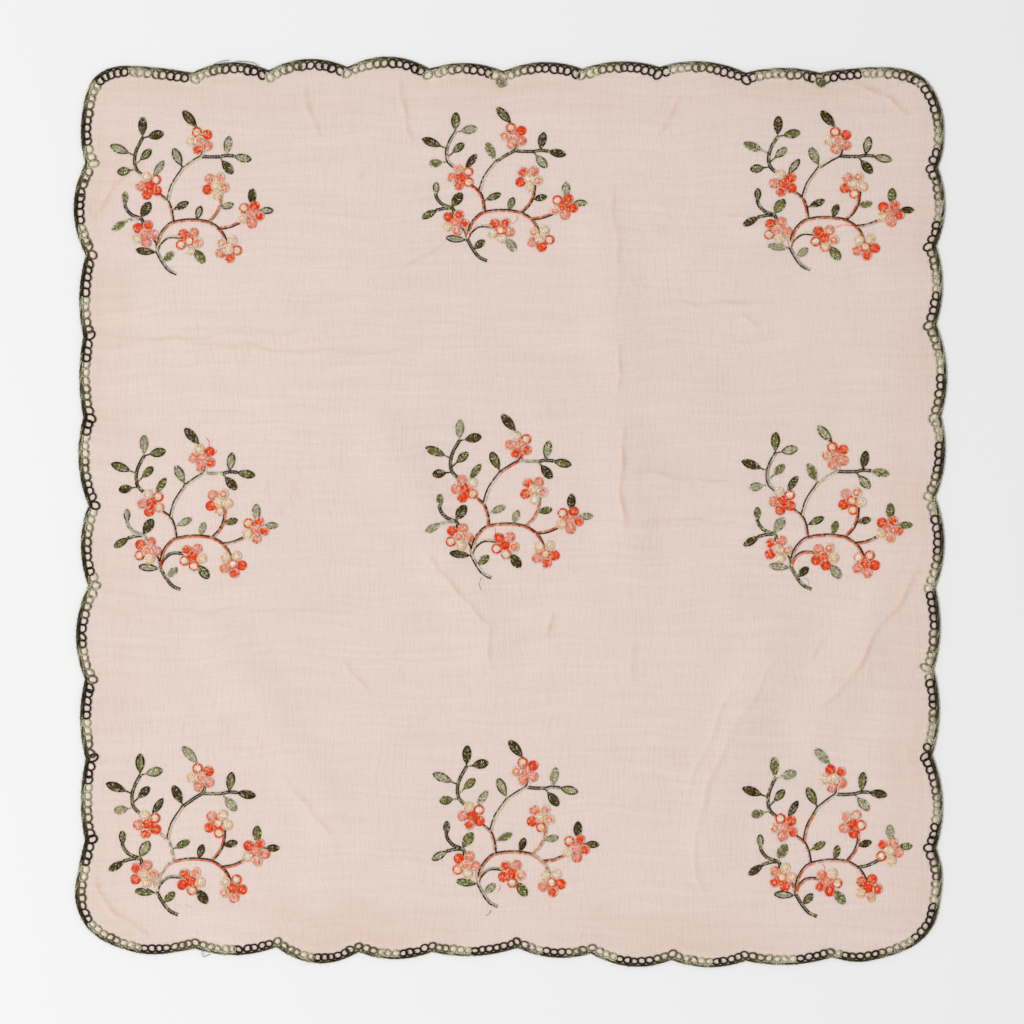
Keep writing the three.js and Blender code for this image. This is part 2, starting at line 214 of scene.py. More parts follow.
# The fine creases are sharper than the folds. "height" compares them, and the last number is how strong the
# warm,
# darker line painted along each is: painted shade in the crease, partly the warmer tone of the cloth doubled
# there.
CREASE_RISE = 1.4  # height in millimetres of a crease whose "height" is 1
CREASE_WIDTH = 1.7
CREASES = [
    {"through": [(70, 52), (69.5, 26), (71, -14)], "height": 0.5, "painted_shade_strength": 0.9},
    {"through": [(67, 104), (68.5, 74)], "height": 0.35, "painted_shade_strength": 0.7},
    {"through": [(64, 205), (66, 170), (68, 132)], "height": 0.25, "painted_shade_strength": 0.45},
    {"through": [(-52, -27), (-34, -48), (-13, -71)], "height": 0.35, "painted_shade_strength": 0.7},
    {"through": [(-12.4, -67), (-13.6, -82), (-11.8, -99)], "height": 0.25, "painted_shade_strength": 0.6},
    {"through": [(27.5, -62), (22, -78)], "height": 0.4, "painted_shade_strength": 0.9},
    {"through": [(75, -81), (77.5, -106)], "height": 0.25, "painted_shade_strength": 0.5},
    {"through": [(255, -35), (242, -55), (222, -82), (211, -105), (191, -120)], "height": 0.4, "painted_shade_strength": 0.8},
    {"through": [(75, 25), (112, 21), (139, 17)], "height": 0.3, "painted_shade_strength": 0.5},
    {"through": [(79, -5), (142, -6)], "height": 0.2, "painted_shade_strength": 0.4},
    {"through": [(92, 132), (130, 129), (164, 131)], "height": 0.25, "painted_shade_strength": 0.5},
    {"through": [(142, 122), (155, 113)], "height": 0.3, "painted_shade_strength": 0.5},
    {"through": [(-127, 264), (-123, 249), (-118, 232)], "height": 0.35, "painted_shade_strength": 0.7},
    {"through": [(-69, 267), (-65, 249), (-59, 229)], "height": 0.35, "painted_shade_strength": 0.7},
    {"through": [(107, 257), (98, 244), (89, 232)], "height": 0.3, "painted_shade_strength": 0.6},
    {"through": [(212, 264), (232, 259), (248, 247)], "height": 0.45, "painted_shade_strength": 0.8},
    {"through": [(-258, -226), (-249, -246), (-223, -262)], "height": 0.4, "painted_shade_strength": 0.8},
    {"through": [(-260, 181), (-246, 200), (-223, 224)], "height": 0.3, "painted_shade_strength": 0.6},
    {"through": [(-143, -162), (-124, -185), (-108, -205)], "height": 0.3, "painted_shade_strength": 0.4},
    {"through": [(-105, -92), (-87, -113)], "height": 0.25, "painted_shade_strength": 0.5},
    {
        "through": [(164, -92), (140, -134), (121, -176), (115, -211), (121, -240)],
        "height": 0.35,
        "painted_shade_strength": 0.35,
    },
    {"through": [(147, -96), (124, -140), (108, -182)], "height": 0.3, "painted_shade_strength": 0.3},
    {"through": [(-254, 110), (-192, 105), (-130, 100), (-50, 99)], "height": 0.2, "painted_shade_strength": 0.45},
    {"through": [(-250, 101), (-180, 110), (-112, 112)], "height": 0.15, "painted_shade_strength": 0.3},
    {"through": [(-256, -63), (-170, -61), (-84, -63)], "height": 0.15, "painted_shade_strength": 0.35},
    {"through": [(128, 184), (166, 180)], "height": 0.25, "painted_shade_strength": 0.5},
    {"through": [(-69, 148), (-52, 161), (-40, 168)], "height": 0.25, "painted_shade_strength": 0.5},
    {"through": [(196, -78), (186, -93)], "height": 0.25, "painted_shade_strength": 0.5},
]

# One sprig, measured from the fork where its stems part. A stem is two rows of stitches side by side.
STEMS = {
    "foot": [(12.5, -14.3), (7.5, -11.8), (3.6, -6.8), (0, 0)],
    "rise": [(0, 0), (1, 5.6), (3.1, 11), (7.2, 15.8), (10.5, 17.8)],
    "over": [(10.5, 17.8), (17.8, 18.9), (25.8, 18.9), (33.4, 17.6)],
    "fall": [(33.4, 17.6), (38.6, 14.5), (42.7, 9.9), (45, 4.2)],
    "to the right": [(40.2, 13.4), (47, 14.3), (54.5, 17.3)],
    "to the inner": [(34, 17.9), (38.8, 22.8), (41.6, 29), (42.3, 35.5)],
    "to the left": [(10.8, 18), (9.9, 25.3), (7.6, 31.2), (3, 35)],
    "tall, low part": [(7.7, 31.4), (10.8, 41), (17.8, 51)],
    "tall, high part": [(17.8, 51), (25.1, 55.8), (30.2, 58.8), (31.3, 62.5)],
    "twig, near part": [(30.2, 58.3), (36, 57.9), (41.5, 57.9)],
    "twig, far part": [(41, 57.5), (45.6, 58.6), (50.7, 58.1)],
    "to the low middle": [(0.2, 0), (1.7, 4.1), (6.1, 8.1), (9.7, 8.9), (15, 8.3)],
    "to the low left": [(0, 0.5), (-1.2, 5.6), (-3.4, 8.6)],
    "top left": [(-8.2, 47.6), (-12, 51.4), (-13, 57), (-11.5, 63.5), (-7.5, 70.5)],
    "low left": [(-8.4, 16.5), (-9.2, 20.4), (-15.5, 23), (-19, 27), (-19.8, 30)],
    "stalk": [(-10, 20.5), (-14, 20.5), (-19.4, 19.3)],
}

# Each blossom has a round middle and five round petals. "turn" is the direction of its first petal, in
# degrees, and the petals follow counter-clockwise.
BLOSSOMS = {
    "low left": {"at": (-7.7, 11), "turn": 66},
    "left": {"at": (-4, 40.9), "turn": 110},
    "top": {"at": (29.3, 68.1), "turn": 109},
    "inner": {"at": (38.6, 39.9), "turn": 131},
    "right": {"at": (60.6, 21.6), "turn": 134},
    "low right": {"at": (45.8, 0.5), "turn": 134},
    "low middle": {"at": (20.9, 6), "turn": 131},
}
PETAL_REACH = 5.75
PAD_RADIUS = 2.9
PETAL_RINGS = (2.8, 1.75, 0.65)

# Leaves, each from its foot to its tip. The blade begins past the "stalk", which is a share of that length.
LEAVES = [
    {"foot": (-13.2, 60), "tip": (-28.5, 66.6), "width": 5.6, "stalk": 0.22},
    {"foot": (-7.6, 70.5), "tip": (-7, 84), "width": 5.7, "stalk": 0.12},
    {"foot": (-7.9, 70.6), "tip": (6.4, 73.3), "width": 6.0, "stalk": 0.28},
    {"foot": (-12, 54.5), "tip": (-2, 63.5), "width": 5.2, "stalk": 0.3},
    {"foot": (-12.2, 51.2), "tip": (-24.3, 49.7), "width": 5.6, "stalk": 0.3},
    {"foot": (-1.5, 46), "tip": (5.9, 56.4), "width": 4.6, "stalk": 0.08},
    {"foot": (18.1, 50.6), "tip": (12.1, 64), "width": 5.8, "stalk": 0.18},
    {"foot": (28.6, 75.2), "tip": (18.6, 87.2), "width": 5.8, "stalk": 0.14},
    {"foot": (45.8, 58.3), "tip": (48.2, 70.8), "width": 5.5, "stalk": 0.1},
    {"foot": (50.2, 58.2), "tip": (62.2, 55.5), "width": 5.5, "stalk": 0.06},
    {"foot": (41.6, 57.4), "tip": (50, 47), "width": 5.8, "stalk": 0.2},
    {"foot": (-19.6, 28.4), "tip": (-19.6, 38), "width": 4.3, "stalk": 0.1},
    {"foot": (-10.4, 20.3), "tip": (-3.4, 30.8), "width": 6.5, "stalk": 0.14},
    {"foot": (-18.6, 19.6), "tip": (-28.8, 13.8), "width": 4.8, "stalk": 0.06},
    {"foot": (-0.4, -0.7), "tip": (-13.8, 1.2), "width": 5.0, "stalk": 0.06},
    {"foot": (3.6, -6.8), "tip": (10.9, -0.4), "width": 5.0, "stalk": 0.1},
    {"foot": (24, 1), "tip": (30.4, -8.2), "width": 6.1, "stalk": 0.06},
    {"foot": (10.4, 25.4), "tip": (21.3, 30.2), "width": 4.7, "stalk": 0.14},
    {"foot": (26, 19), "tip": (29, 27.8), "width": 4.7, "stalk": 0.06},
    {"foot": (40.8, 26.3), "tip": (50.2, 28.2), "width": 4.7, "stalk": 0.1},
    {"foot": (61.8, 27), "tip": (62.1, 38), "width": 5.5, "stalk": 0.06},
    {"foot": (65.5, 24), "tip": (75.6, 23.7), "width": 4.6, "stalk": 0.1},
]

# The threads, by the letters that the charts below use. A petal has three: its rim's, its ring's and its
# middle's. A leaf has two: its rim's and its filling's.
THREADS = {"c": "coral", "s": "salmon", "w": "cream", "o": "olive", "g": "green", "a": "sage"}
PETAL_THREADS = {
    "C": "ccc", "S": "sss", "W": "www", "R": "cww", "P": "sww", "K": "scc", "E": "wsw", "L": "wss",
}
LEAF_THREADS = {"d": "oo", "g": "og", "o": "oa", "m": "gg", "s": "ga", "p": "aa", "e": "ag"}

# Where each sprig's fork lies on the cloth, how far the sprig is turned, in degrees, and how much its
# stitching is stretched or drawn in, across and upwards. No two sprigs have the same threads: "petals" has a
# word for each blossom, its middle first, "leaves" a letter for each leaf, and "stems" the threads on the
# left and the right of each stem.
SPRIGS = [
    {
        "node": "sprig_top_left",
        "fork": (-219, 161.5), "turn": 1.3, "across": 0.966, "up": 0.998,
        "petals": "SKCWSS CWSCCR LRWKSC WSCWEL SRWSKC WESKRW RCRWLS",
        "leaves": "sddggpodpsdededemdosdo",
        "stems": "oa oc oc oc co ca so gw gw oo og wo wo go oo aa",
    },
    {
        "node": "sprig_top_middle",
        "fork": (-26.5, 169), "turn": 0.1, "across": 0.987, "up": 0.94,
        "petals": "SKCWSK CLSKRR SRESSC WKCWES CRLSCC WESCRW RCWWSK",
        "leaves": "dgpgedegddssdgodpgmdps",
        "stems": "og oc oc gc co co co ow gg go oo wo os oa gg go",
    },
    {
        "node": "sprig_top_right",
        "fork": (173.5, 164), "turn": 0, "across": 1.02, "up": 0.973,
        "petals": "LSCRWS CWSKCC LRWSSC WSCRWE SCWSKK RWSKCW CCRPES",
        "leaves": "edgsgosdosdgmdppmddemd",
        "stems": "oa oc oc oc os co co ow wo oo og wo sw og og oo",
    },
    {
        "node": "sprig_middle_left",
        "fork": (-217, -34.5), "turn": 2.1, "across": 0.984, "up": 0.986,
        "petals": "LSCRWS CWSCPR SWSSKC WSCPWE SRWSKK RWSKCW CKRRWS",
        "leaves": "gpggdmsdsgdsdmopgppgpp",
        "stems": "gg oc gc oc os oc so ow ow aa oo go wo og aa og",
    },
    {
        "node": "sprig_centre",
        "fork": (-24, -26.5), "turn": 0, "across": 1, "up": 1,
        "petals": "LSCRWS CSSCRW SWSKKR WKCWLS SRWSKC RWSKCW CCRPLS",
        "leaves": "mpdgdmgdsgdedpdmdppmdp",
        "stems": "oa oc gc oc co ca co ow oc aa oo wo wo go oo aa",
    },
    {
        "node": "sprig_middle_right",
        "fork": (174, -34), "turn": 1.6, "across": 1.01, "up": 1,
        "petals": "WSKCWE CWSCCR SRESSC RSCRWE SCWLKK CPSSCR KSCCWL",
        "leaves": "dgsepdesdesmpdpdpgmdmm",
        "stems": "og os oc oc oc co so ow aw og oo oc wo oa gg oo",
    },
    {
        "node": "sprig_bottom_left",
        "fork": (-219, -235.5), "turn": 2.1, "across": 1.023, "up": 1.028,
        "petals": "WSKCWL CWSKCR LRWSSC RSCRWW SCWLSK CWESCR CKCRWL",
        "leaves": "dgsdpddpgdpgsdmmdmddmd",
        "stems": "og as oc oc oc co sa ow oo gg oo ao sw og og oo",
    },
    {
        "node": "sprig_bottom_middle",
        "fork": (-20, -230), "turn": -0.3, "across": 0.997, "up": 1.019,
        "petals": "LSCRWS CWSKCR SRESSC WSCREL SRWSKK RWSKCW CKCRES",
        "leaves": "sddmmpsdpsddmompmedpdd",
        "stems": "oa oc oc ac oc ca so gw ow oo oa ao sw gg oo oo",
    },
    {
        "node": "sprig_bottom_right",
        "fork": (177, -237), "turn": 4.3, "across": 0.987, "up": 1.026,
        "petals": "RWSKCW SRESKC WCWSSK CLSCRP WKRWSS CCWLKC SSKCRW",
        "leaves": "dmpgedgpgdpsedogemmdpm",
        "stems": "og oc os os og oc so oc ow og oo oc co go gg og",
    },
]

# The two threads of a stem: a dark one lies lower and is narrower than the pale one beside it.
DARK_STEM = {"aside": 0.6, "look": {"height": 0.05, "width": 0.95, "depth": 1.5}}
PALE_STEM = {"aside": 0.48, "look": {"height": 0.14, "width": 1.22, "depth": 0.65}}

# Loose ends of the embroidery thread, measured like the stems.
STRAYS = [
    {"node": "sprig_top_middle", "thread": "c", "through": [(31.4, 16), (31, 12.6), (28.3, 10.2)]},
    {"node": "sprig_top_right", "thread": "c", "through": [(27.9, 12.8), (33, 14.3), (39.9, 13.3)]},
    {"node": "sprig_middle_left", "thread": "c", "through": [(31.9, 80.6), (33.7, 78), (33.7, 74.8)]},
    {"node": "sprig_middle_left", "thread": "c", "through": [(38.5, 72.6), (37.6, 70.5), (34.5, 69.5)]},
    {"node": "sprig_centre", "thread": "c", "through": [(14.6, 16.4), (15, 13.6), (14, 11.1)]},
    {"node": "sprig_centre", "thread": "a", "through": [(6.2, -14.2), (4.9, -18.2), (6.2, -22.1)]},
    {"node": "sprig_middle_right", "thread": "a", "through": [(7.5, -7.1), (10.4, -8.4), (10.6, -11.5)]},
    {"node": "sprig_bottom_left", "thread": "w", "through": [(12.4, -8.9), (16.5, -8.4), (20.4, -9.7)]},
    {"node": "sprig_bottom_middle", "thread": "o", "through": [(8, -16.4), (7.2, -18.6), (5.1, -19.9)]},
    {"node": "sprig_bottom_middle", "thread": "c", "through": [(13.7, -0.9), (13.9, -3.1), (12.8, -4.9)]},
    {"node": "sprig_bottom_right", "thread": "c", "through": [(17.9, 16.8), (19.4, 15.6), (19.5, 13.7)]},
]


def shade(red, green, blue):
    """A colour as it shows on a screen, 0 to 255 a channel, as the linear values that Blender works in."""
    values = (c / 255 for c in (red, green, blue))
    return tuple(c / 12.92 if c <= 0.04045 else ((c + 0.055) / 1.055) ** 2.4 for c in values)


def colour_property(name, description, default):
    return bpy.props.FloatVectorProperty(
        name=name, description=description, default=default, size=3, min=0, max=1, subtype="COLOR"
    )


def length_property(name, description, millimetres):
    return bpy.props.FloatProperty(
        name=name, description=description, default=millimetres * MM, min=0, precision=5,
        subtype="DISTANCE", unit="LENGTH",
    )


class ClothSettings(bpy.types.PropertyGroup):
    thickness: length_property("Thickness", "Thickness of the voile", 0.3)
    cell: length_property("Cell", "Spacing of the cloth's own points", 3.6)
    thread_pitch: length_property("Thread pitch", "Distance between neighbouring threads of the weave", 0.36)
    colour: colour_property("Colour", "Blush of the voile", shade(234, 215, 206))
    # In the thicker threads this is their own colour; along the edge and the creases it is painted shade.
    warm: colour_property("Warm colour", "Tint of thicker threads and sharp creases", shade(222, 184, 160))
    # The hem's paler colour is partly its own, partly painted light against the shade of the loops over it.
    hem_and_painted_light: colour_property("Hem colour", "Paler tint of the turned edge under the loops", shade(242, 224, 210))
    cover: bpy.props.FloatProperty(
        name="Cover", description="Share of the light that the weave stops", default=0.72, min=0, max=1,
        subtype="FACTOR",
    )


class EdgeSettings(bpy.types.PropertyGroup):
    twist: length_property("Twist", "Length of one turn of the cord's strands", 11.0)
    bead: length_property("Bead", "Length of one small bead of the cord", 1.6)
    side_width: length_property("Side width", "Width of the cord along the left and right sides", 2.0)
    end_width: length_property("End width", "Width of the cord along the top and bottom", 1.3)
    loop_pitch: length_property("Loop pitch", "Distance between neighbouring loops", 4.95)
    loop_width: length_property("Loop width", "Width of a loop, from thread to thread", 4.75)
    loop_depth: length_property("Loop depth", "How far a loop's thread reaches in", 4.3)
    loop_thread: length_property("Loop thread", "Radius of the loops' thread", 0.55)
    dark: colour_property("Dark", "Darkest stretch of the edge yarn", shade(30, 15, 2))
    middle: colour_property("Middle", "Middle stretch of the edge yarn", shade(102, 96, 57))
    pale: colour_property("Pale", "Palest stretch of the edge yarn", shade(190, 190, 158))


class StitchSettings(bpy.types.PropertyGroup):
    length: length_property("Stitch length", "Length of one chain stitch", 1.35)
    width: length_property("Stitch width", "Width of one chain stitch", 1.05)
    thread: length_property("Thread radius", "Radius of the embroidery thread", 0.28)
    satin_pitch: length_property("Satin pitch", "Distance between the stitches that fill a leaf", 1.1)
    coral: colour_property("Coral", "Coral thread", shade(255, 92, 42))
    salmon: colour_property("Salmon", "Salmon thread", shade(255, 172, 142))
    cream: colour_property("Cream", "Cream thread", shade(255, 226, 193))
    olive: colour_property("Olive", "Darkest green thread", shade(92, 77, 32))
    green: colour_property("Green", "Middle green thread", shade(134, 132, 70))
    sage: colour_property("Sage", "Pale green thread", shade(184, 180, 145))


class StageSettings(bpy.types.PropertyGroup):
    view_width: length_property("View width", "Width that the camera takes in", 634.9)
    view_shift: length_property("View shift", "How far the camera stands to the right of the middle", 1.24)
    camera_height: length_property("Camera height", "Height of the camera above the surface", 3000)
    floor_colour: colour_property("Floor colour", "Pale grey of the surface", shade(239, 239, 239))


def settings(name):
    return getattr(bpy.context.scene, "bandana_" + name)


# Lines and the lie of the cloth


def catmull_rom(points, steps):
    """Points on a smooth curve through the given ones, without the last."""
    points = np.asarray(points, float)
    spans = len(points) - 1
    at = np.arange(steps) * spans / steps
    k = np.floor(at).astype(int)
    t = (at - k)[:, None]
    p0, p1 = points[np.maximum(k - 1, 0)], points[k]
    p2, p3 = points[k + 1], points[np.minimum(k + 2, spans)]
    v1, v2 = (p2 - p0) / 2, (p3 - p1) / 2
    return (2 * p1 - 2 * p2 + v1 + v2) * t**3 + (-3 * p1 + 3 * p2 - 2 * v1 - v2) * t**2 + v1 * t + p1


def smooth_line(points, step):
    """A smooth line through the points, its own points about one step apart, the last one too."""
    length = sum(math.dist(a, b) for a, b in zip(points, points[1:]))
    line = catmull_rom(points, max(len(points), math.ceil(length / step)))
    return np.vstack([line, points[-1]])


def line_and_left(points, step):
    """A smooth line through the points, and the direction to its left at each of its own points."""
    line = smooth_line(points, step)
    ahead = np.gradient(line, axis=0)
    ahead /= np.linalg.norm(ahead, axis=1, keepdims=True)
    return line, np.column_stack([-ahead[:, 1], ahead[:, 0]])


def turned(x, y, angle):
    """A place, or rows of them, turned counter-clockwise by an angle in radians."""
    return x * math.cos(angle) - y * math.sin(angle), x * math.sin(angle) + y * math.cos(angle)


def side_point(row, quarter_turns):
    """Where a row of the table of sides lies on the cloth."""
    return turned(row["along"], -row["reach"], math.radians(90 * quarter_turns))


def scallop(notch, following, quarter_turns):
    """The arc from one notch to the next, without its last point."""
    t = np.arange(STEPS_PER_SCALLOP) / STEPS_PER_SCALLOP
    along = notch["along"] + (following["along"] - notch["along"]) * t
    chord = notch["reach"] + (following["reach"] - notch["reach"]) * t
    rise = notch["crest"] - (notch["reach"] + following["reach"]) / 2
    reach = chord + rise * 4 * t * (1 - t)
    return [side_point({"along": a, "reach": r}, quarter_turns) for a, r in zip(along, reach)]


class Edge:
    """The bandana's outline, measured along its length. Positions are in millimetres."""

    def __init__(self):
        points = []
        notches = []
        sides = list(SIDES.values())
        for k, side in enumerate(sides):
            rows = side["notches"]
            for notch, following in zip(rows, rows[1:]):
                notches.append(len(points))
                points += scallop(notch, following, k)
            notches.append(len(points))
            beyond = sides[(k + 1) % 4]["notches"][0]
            bend = [side_point(row, k) for row in [rows[-1], *side["corner"]]]
            bend.append(side_point(beyond, k + 1))
            points += [tuple(p) for p in catmull_rom(bend, STEPS_PER_CORNER)]
        points = np.array(points)
        points -= (points.min(axis=0) + points.max(axis=0)) / 2
        steps = np.linalg.norm(np.roll(points, -1, axis=0) - points, axis=1)
        self.length = steps.sum()
        self.at_point = np.concatenate([[0], np.cumsum(steps)])
        self.points = np.vstack([points, points[:1]])
        self.notches = self.at_point[notches]

    def spaced(self, count):
        """The distances of places that stand evenly all along the outline."""
        return np.arange(count) * self.length / count

    def at(self, distance):
        """The places at distances along the outline."""
        wrapped = np.mod(distance, self.length)
        x = np.interp(wrapped, self.at_point, self.points[:, 0])
        y = np.interp(wrapped, self.at_point, self.points[:, 1])
        return np.stack([x, y], axis=-1)

    def inward(self, distance, reach=2.0):
        """Unit vectors that point into the cloth, turning smoothly round the notches."""
        ahead = self.at(distance + reach) - self.at(distance - reach)
        ahead /= np.linalg.norm(ahead, axis=-1, keepdims=True)
        return np.stack([-ahead[..., 1], ahead[..., 0]], axis=-1)

    def inset(self, distance, depth):
        """The places at distances along the outline and a depth inside it."""
        return self.at(distance) + self.inward(distance) * np.asarray(depth)[..., None]

    def cord_width(self, distance):
        """How wide the cord lies, in millimetres: wider where the edge runs up the sides."""
        yarn = settings("edge")
        upright = self.inward(distance, 8.0)[..., 0] ** 2
        return (yarn.end_width + (yarn.side_width - yarn.end_width) * upright) / MM


@lru_cache(maxsize=1)
def edge():
    return Edge()


def along_and_away(x, y, start, end):
    """How far along a straight line each place lies, from 0 to 1, and how far away from it."""
    span = end - start
    t = np.clip(((x - start[0]) * span[0] + (y - start[1]) * span[1]) / span.dot(span), 0, 1)
    return t, np.hypot(x - start[0] - t * span[0], y - start[1] - t * span[1])


def ridge(fold, x, y):
    """Height of one fold: full along its middle line, and none from its half width outwards."""
    _, away = along_and_away(x, y, np.array(fold["from"], float), np.array(fold["to"], float))
    share = np.clip(away / FOLD_HALF_WIDTH, 0, 1)
    return fold["height"] * np.cos(share * math.pi / 2) ** 2


def crease_line(crease, step):
    """A crease's line, wandering a little from side to side, and the direction to its left."""
    line, side = line_and_left(crease["through"], step)
    x, y = line.T
    wander = 1.1 * np.sin(x / 7.3 + y / 9.1) + 0.7 * np.sin(x / 3.9 - y / 4.7 + 2)
    return line + side * wander[:, None], side


def crease_shape(crease, x, y, width):
    """How near each place is to a crease's line, from 0 to 1, and less towards the crease's ends."""
    line, _ = crease_line(crease, 4)
    best = np.full(np.shape(x), np.inf)
    share = np.zeros(np.shape(x))
    spans = len(line) - 1
    for k, (a, b) in enumerate(zip(line, line[1:])):
        t, away = along_and_away(x, y, a, b)
        nearer = away < best
        best = np.where(nearer, away, best)
        share = np.where(nearer, (k + t) / spans, share)
    uneven = 0.75 + 0.25 * np.sin(share * 17 + crease["height"] * 90)
    return np.exp(-((best / width) ** 2)) * np.sqrt(np.clip(4 * share * (1 - share), 0, 1)) * uneven


def near_crease(crease, x, y, margin):
    """Whether each place lies within a margin of the box round a crease."""
    (x0, y0), (x1, y1) = np.min(crease["through"], axis=0), np.max(crease["through"], axis=0)
    return (x > x0 - margin) & (x < x1 + margin) & (y > y0 - margin) & (y < y1 + margin)


def lift(x, y):
    """How high the cloth's middle layer lies: its folds, its creases and three sets of fine ripples."""
    x, y = np.asarray(x, float), np.asarray(y, float)
    margin = np.minimum(FOLDS_END["x"] - np.abs(x), FOLDS_END["y"] - np.abs(y))
    t = np.clip(margin / FOLDS_FADE, 0, 1)
    fade = t * t * (3 - 2 * t)
    broad = np.max([ridge(fold, x, y) for fold in FOLDS], axis=0)
    fine = np.zeros(x.shape)
    for crease in CREASES:
        near = near_crease(crease, x, y, 7 * CREASE_WIDTH)
        if near.any():
            shape = crease_shape(crease, x[near], y[near], CREASE_WIDTH)
            fine[near] += CREASE_RISE * crease["height"] * shape
    wave = 0.10 * np.sin(x / 7.1 + 2.6 * np.sin(y / 41 + x / 90)) * np.sin(y / 19 + 1.6 * np.sin(x / 31))
    swell = 0.08 * np.sin(y / 5.3 + 2.8 * np.sin(x / 67 + y / 130)) * np.sin(x / 43 + y / 71 + 1.3)
    slant = 0.10 * np.sin((x - 0.8 * y) / 6.1 + 2.2 * np.sin((x + y) / 53)) * np.sin((x + y) / 37 + 0.6) ** 2
    return CLOTH_LEVEL + RIPPLE_ROOM + fade * (broad + slant) + fine + wave + swell


# Meshes


def add_object(name, data):
    """A new object in the scene, from a mesh, a light or a camera."""
    added = bpy.data.objects.new(name, data)
    bpy.context.scene.collection.objects.link(added)
    return added


def mesh_piece(name, vertices, faces, material, colours=None):
    """A new object from vertices in millimetres, triangles, and perhaps a thread colour for each vertex."""
    mesh = bpy.data.meshes.new(name)
    vertices = np.asarray(vertices, float).reshape(-1, 3) * MM
    faces = np.asarray(faces, int)
    count, sides = faces.shape
    mesh.vertices.add(len(vertices))
    mesh.vertices.foreach_set("co", vertices.ravel())
    mesh.loops.add(count * sides)
    mesh.loops.foreach_set("vertex_index", faces.ravel())
    mesh.polygons.add(count)
    mesh.polygons.foreach_set("loop_start", np.arange(count) * sides)
    mesh.polygons.foreach_set("use_smooth", np.ones(count, bool))
    mesh.update(calc_edges=True)
    if mesh.validate():
        raise RuntimeError(f"{name} has faces that Blender had to repair")
    if colours is not None:
        attribute = mesh.color_attributes.new("thread", "FLOAT_COLOR", "POINT")
        rgba = np.column_stack([np.clip(colours, 0, 1), np.ones(len(colours))])
        attribute.data.foreach_set("color", rgba.ravel())
    mesh.materials.append(material)
    return add_object(name, mesh)


def joined(parts):
    """One mesh from several parts of (vertices, triangles, colours)."""
    offset = 0
    triangles = []
    for vertices, faces, _ in parts:
        triangles.append(faces + offset)
        offset += len(vertices)
    return np.vstack([p[0] for p in parts]), np.vstack(triangles), np.vstack([p[2] for p in parts])


def halved(quads):
    """Each four-sided face as two triangles."""
    return np.vstack([quads[:, [0, 1, 2]], quads[:, [0, 2, 3]]])


def frames_along(paths, closed):
    """Directions along, and across, each path of a batch of shape (paths, points, 3)."""
    if closed:
        ahead = np.roll(paths, -1, axis=1) - np.roll(paths, 1, axis=1)
    else:
        ahead = np.gradient(paths, axis=1)
    ahead = ahead / np.linalg.norm(ahead, axis=-1, keepdims=True)
    across = np.cross(np.broadcast_to([0.0, 0.0, 1.0], ahead.shape), ahead)
    across /= np.linalg.norm(across, axis=-1, keepdims=True)
    return ahead, across


def tubes(paths, radius, sides, closed=False, squash=1.0):
    """Tubes round a batch of paths that lie almost level, as vertices and triangles.

    Each tube has a corner on top, is "squash" times as high as wide, and has its open ends capped."""
    paths = np.asarray(paths, float)
    count, points, _ = paths.shape
    ahead, across = frames_along(paths, closed)
    up = np.cross(ahead, across)
    angles = math.pi / 2 + np.arange(sides) * 2 * math.pi / sides
    radius = np.broadcast_to(radius, (count, points))[:, :, None, None]
    ring = across[:, :, None] * np.cos(angles)[:, None] + up[:, :, None] * squash * np.sin(angles)[:, None]
    vertices = paths[:, :, None] + ring * radius
    spans = points if closed else points - 1
    i, k = np.meshgrid(np.arange(spans), np.arange(sides), indexing="ij")
    i_next, k_next = (i + 1) % points, (k + 1) % sides
    corners = [i * sides + k, i * sides + k_next, i_next * sides + k_next, i_next * sides + k]
    faces = halved(np.stack(corners, axis=-1).reshape(-1, 4))
    if not closed:
        last = (points - 1) * sides
        caps = [(0, j + 1, j) for j in range(1, sides - 1)]
        caps += [(last, last + j, last + j + 1) for j in range(1, sides - 1)]
        faces = np.vstack([faces, caps])
    offsets = np.arange(count)[:, None, None] * points * sides
    return vertices.reshape(-1, 3), (faces[None] + offsets).reshape(-1, 3)


def finish_piece(piece, node):
    """Puts a piece on the part's one body, in place of its plain solid."""
    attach(piece, "root")
    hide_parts(node)


def thread_piece(name, parts, material, node):
    """One piece from parts of thread, each part its vertices, triangles and colours."""
    vertices, faces, colours = joined(parts)
    finish_piece(mesh_piece(name, vertices, faces, material, colours), node)


# Materials

BUMP_DISTANCE = 0.1 * MM


def new_group(name, inputs, outputs):
    """An empty shader node group, with its input node and its output node."""
    group = bpy.data.node_groups.new(name, "ShaderNodeTree")
    for label, kind, default in inputs:
        socket = group.interface.new_socket(label, in_out="INPUT", socket_type=kind)
        socket.default_value = default
    for label, kind in outputs:
        group.interface.new_socket(label, in_out="OUTPUT", socket_type=kind)
    return group, group.nodes.new("NodeGroupInput"), group.nodes.new("NodeGroupOutput")


def feed(tree, sockets, values):
    """Links each value that is a socket to its own input, and writes the others into theirs."""
    for socket, value in zip(sockets, values):
        if isinstance(value, bpy.types.NodeSocket):
            tree.links.new(value, socket)
        else:
            socket.default_value = value


def math_node(tree, operation, first, second):
    """One step of arithmetic on two numbers or sockets."""
    node = tree.nodes.new("ShaderNodeMath")
    node.operation = operation
    feed(tree, node.inputs[:2], (first, second))
    return node.outputs[0]


def around_middle(tree, value, amount):
    """How far a noise is above or below its middle, times an amount."""
    return math_node(tree, "MULTIPLY", math_node(tree, "SUBTRACT", value, 0.5), amount)


def weighted_sum(tree, first, weight, second, other_weight):
    """The sum of two values, each times its own weight."""
    parts = (math_node(tree, "MULTIPLY", first, weight), math_node(tree, "MULTIPLY", second, other_weight))
    return math_node(tree, "ADD", *parts)


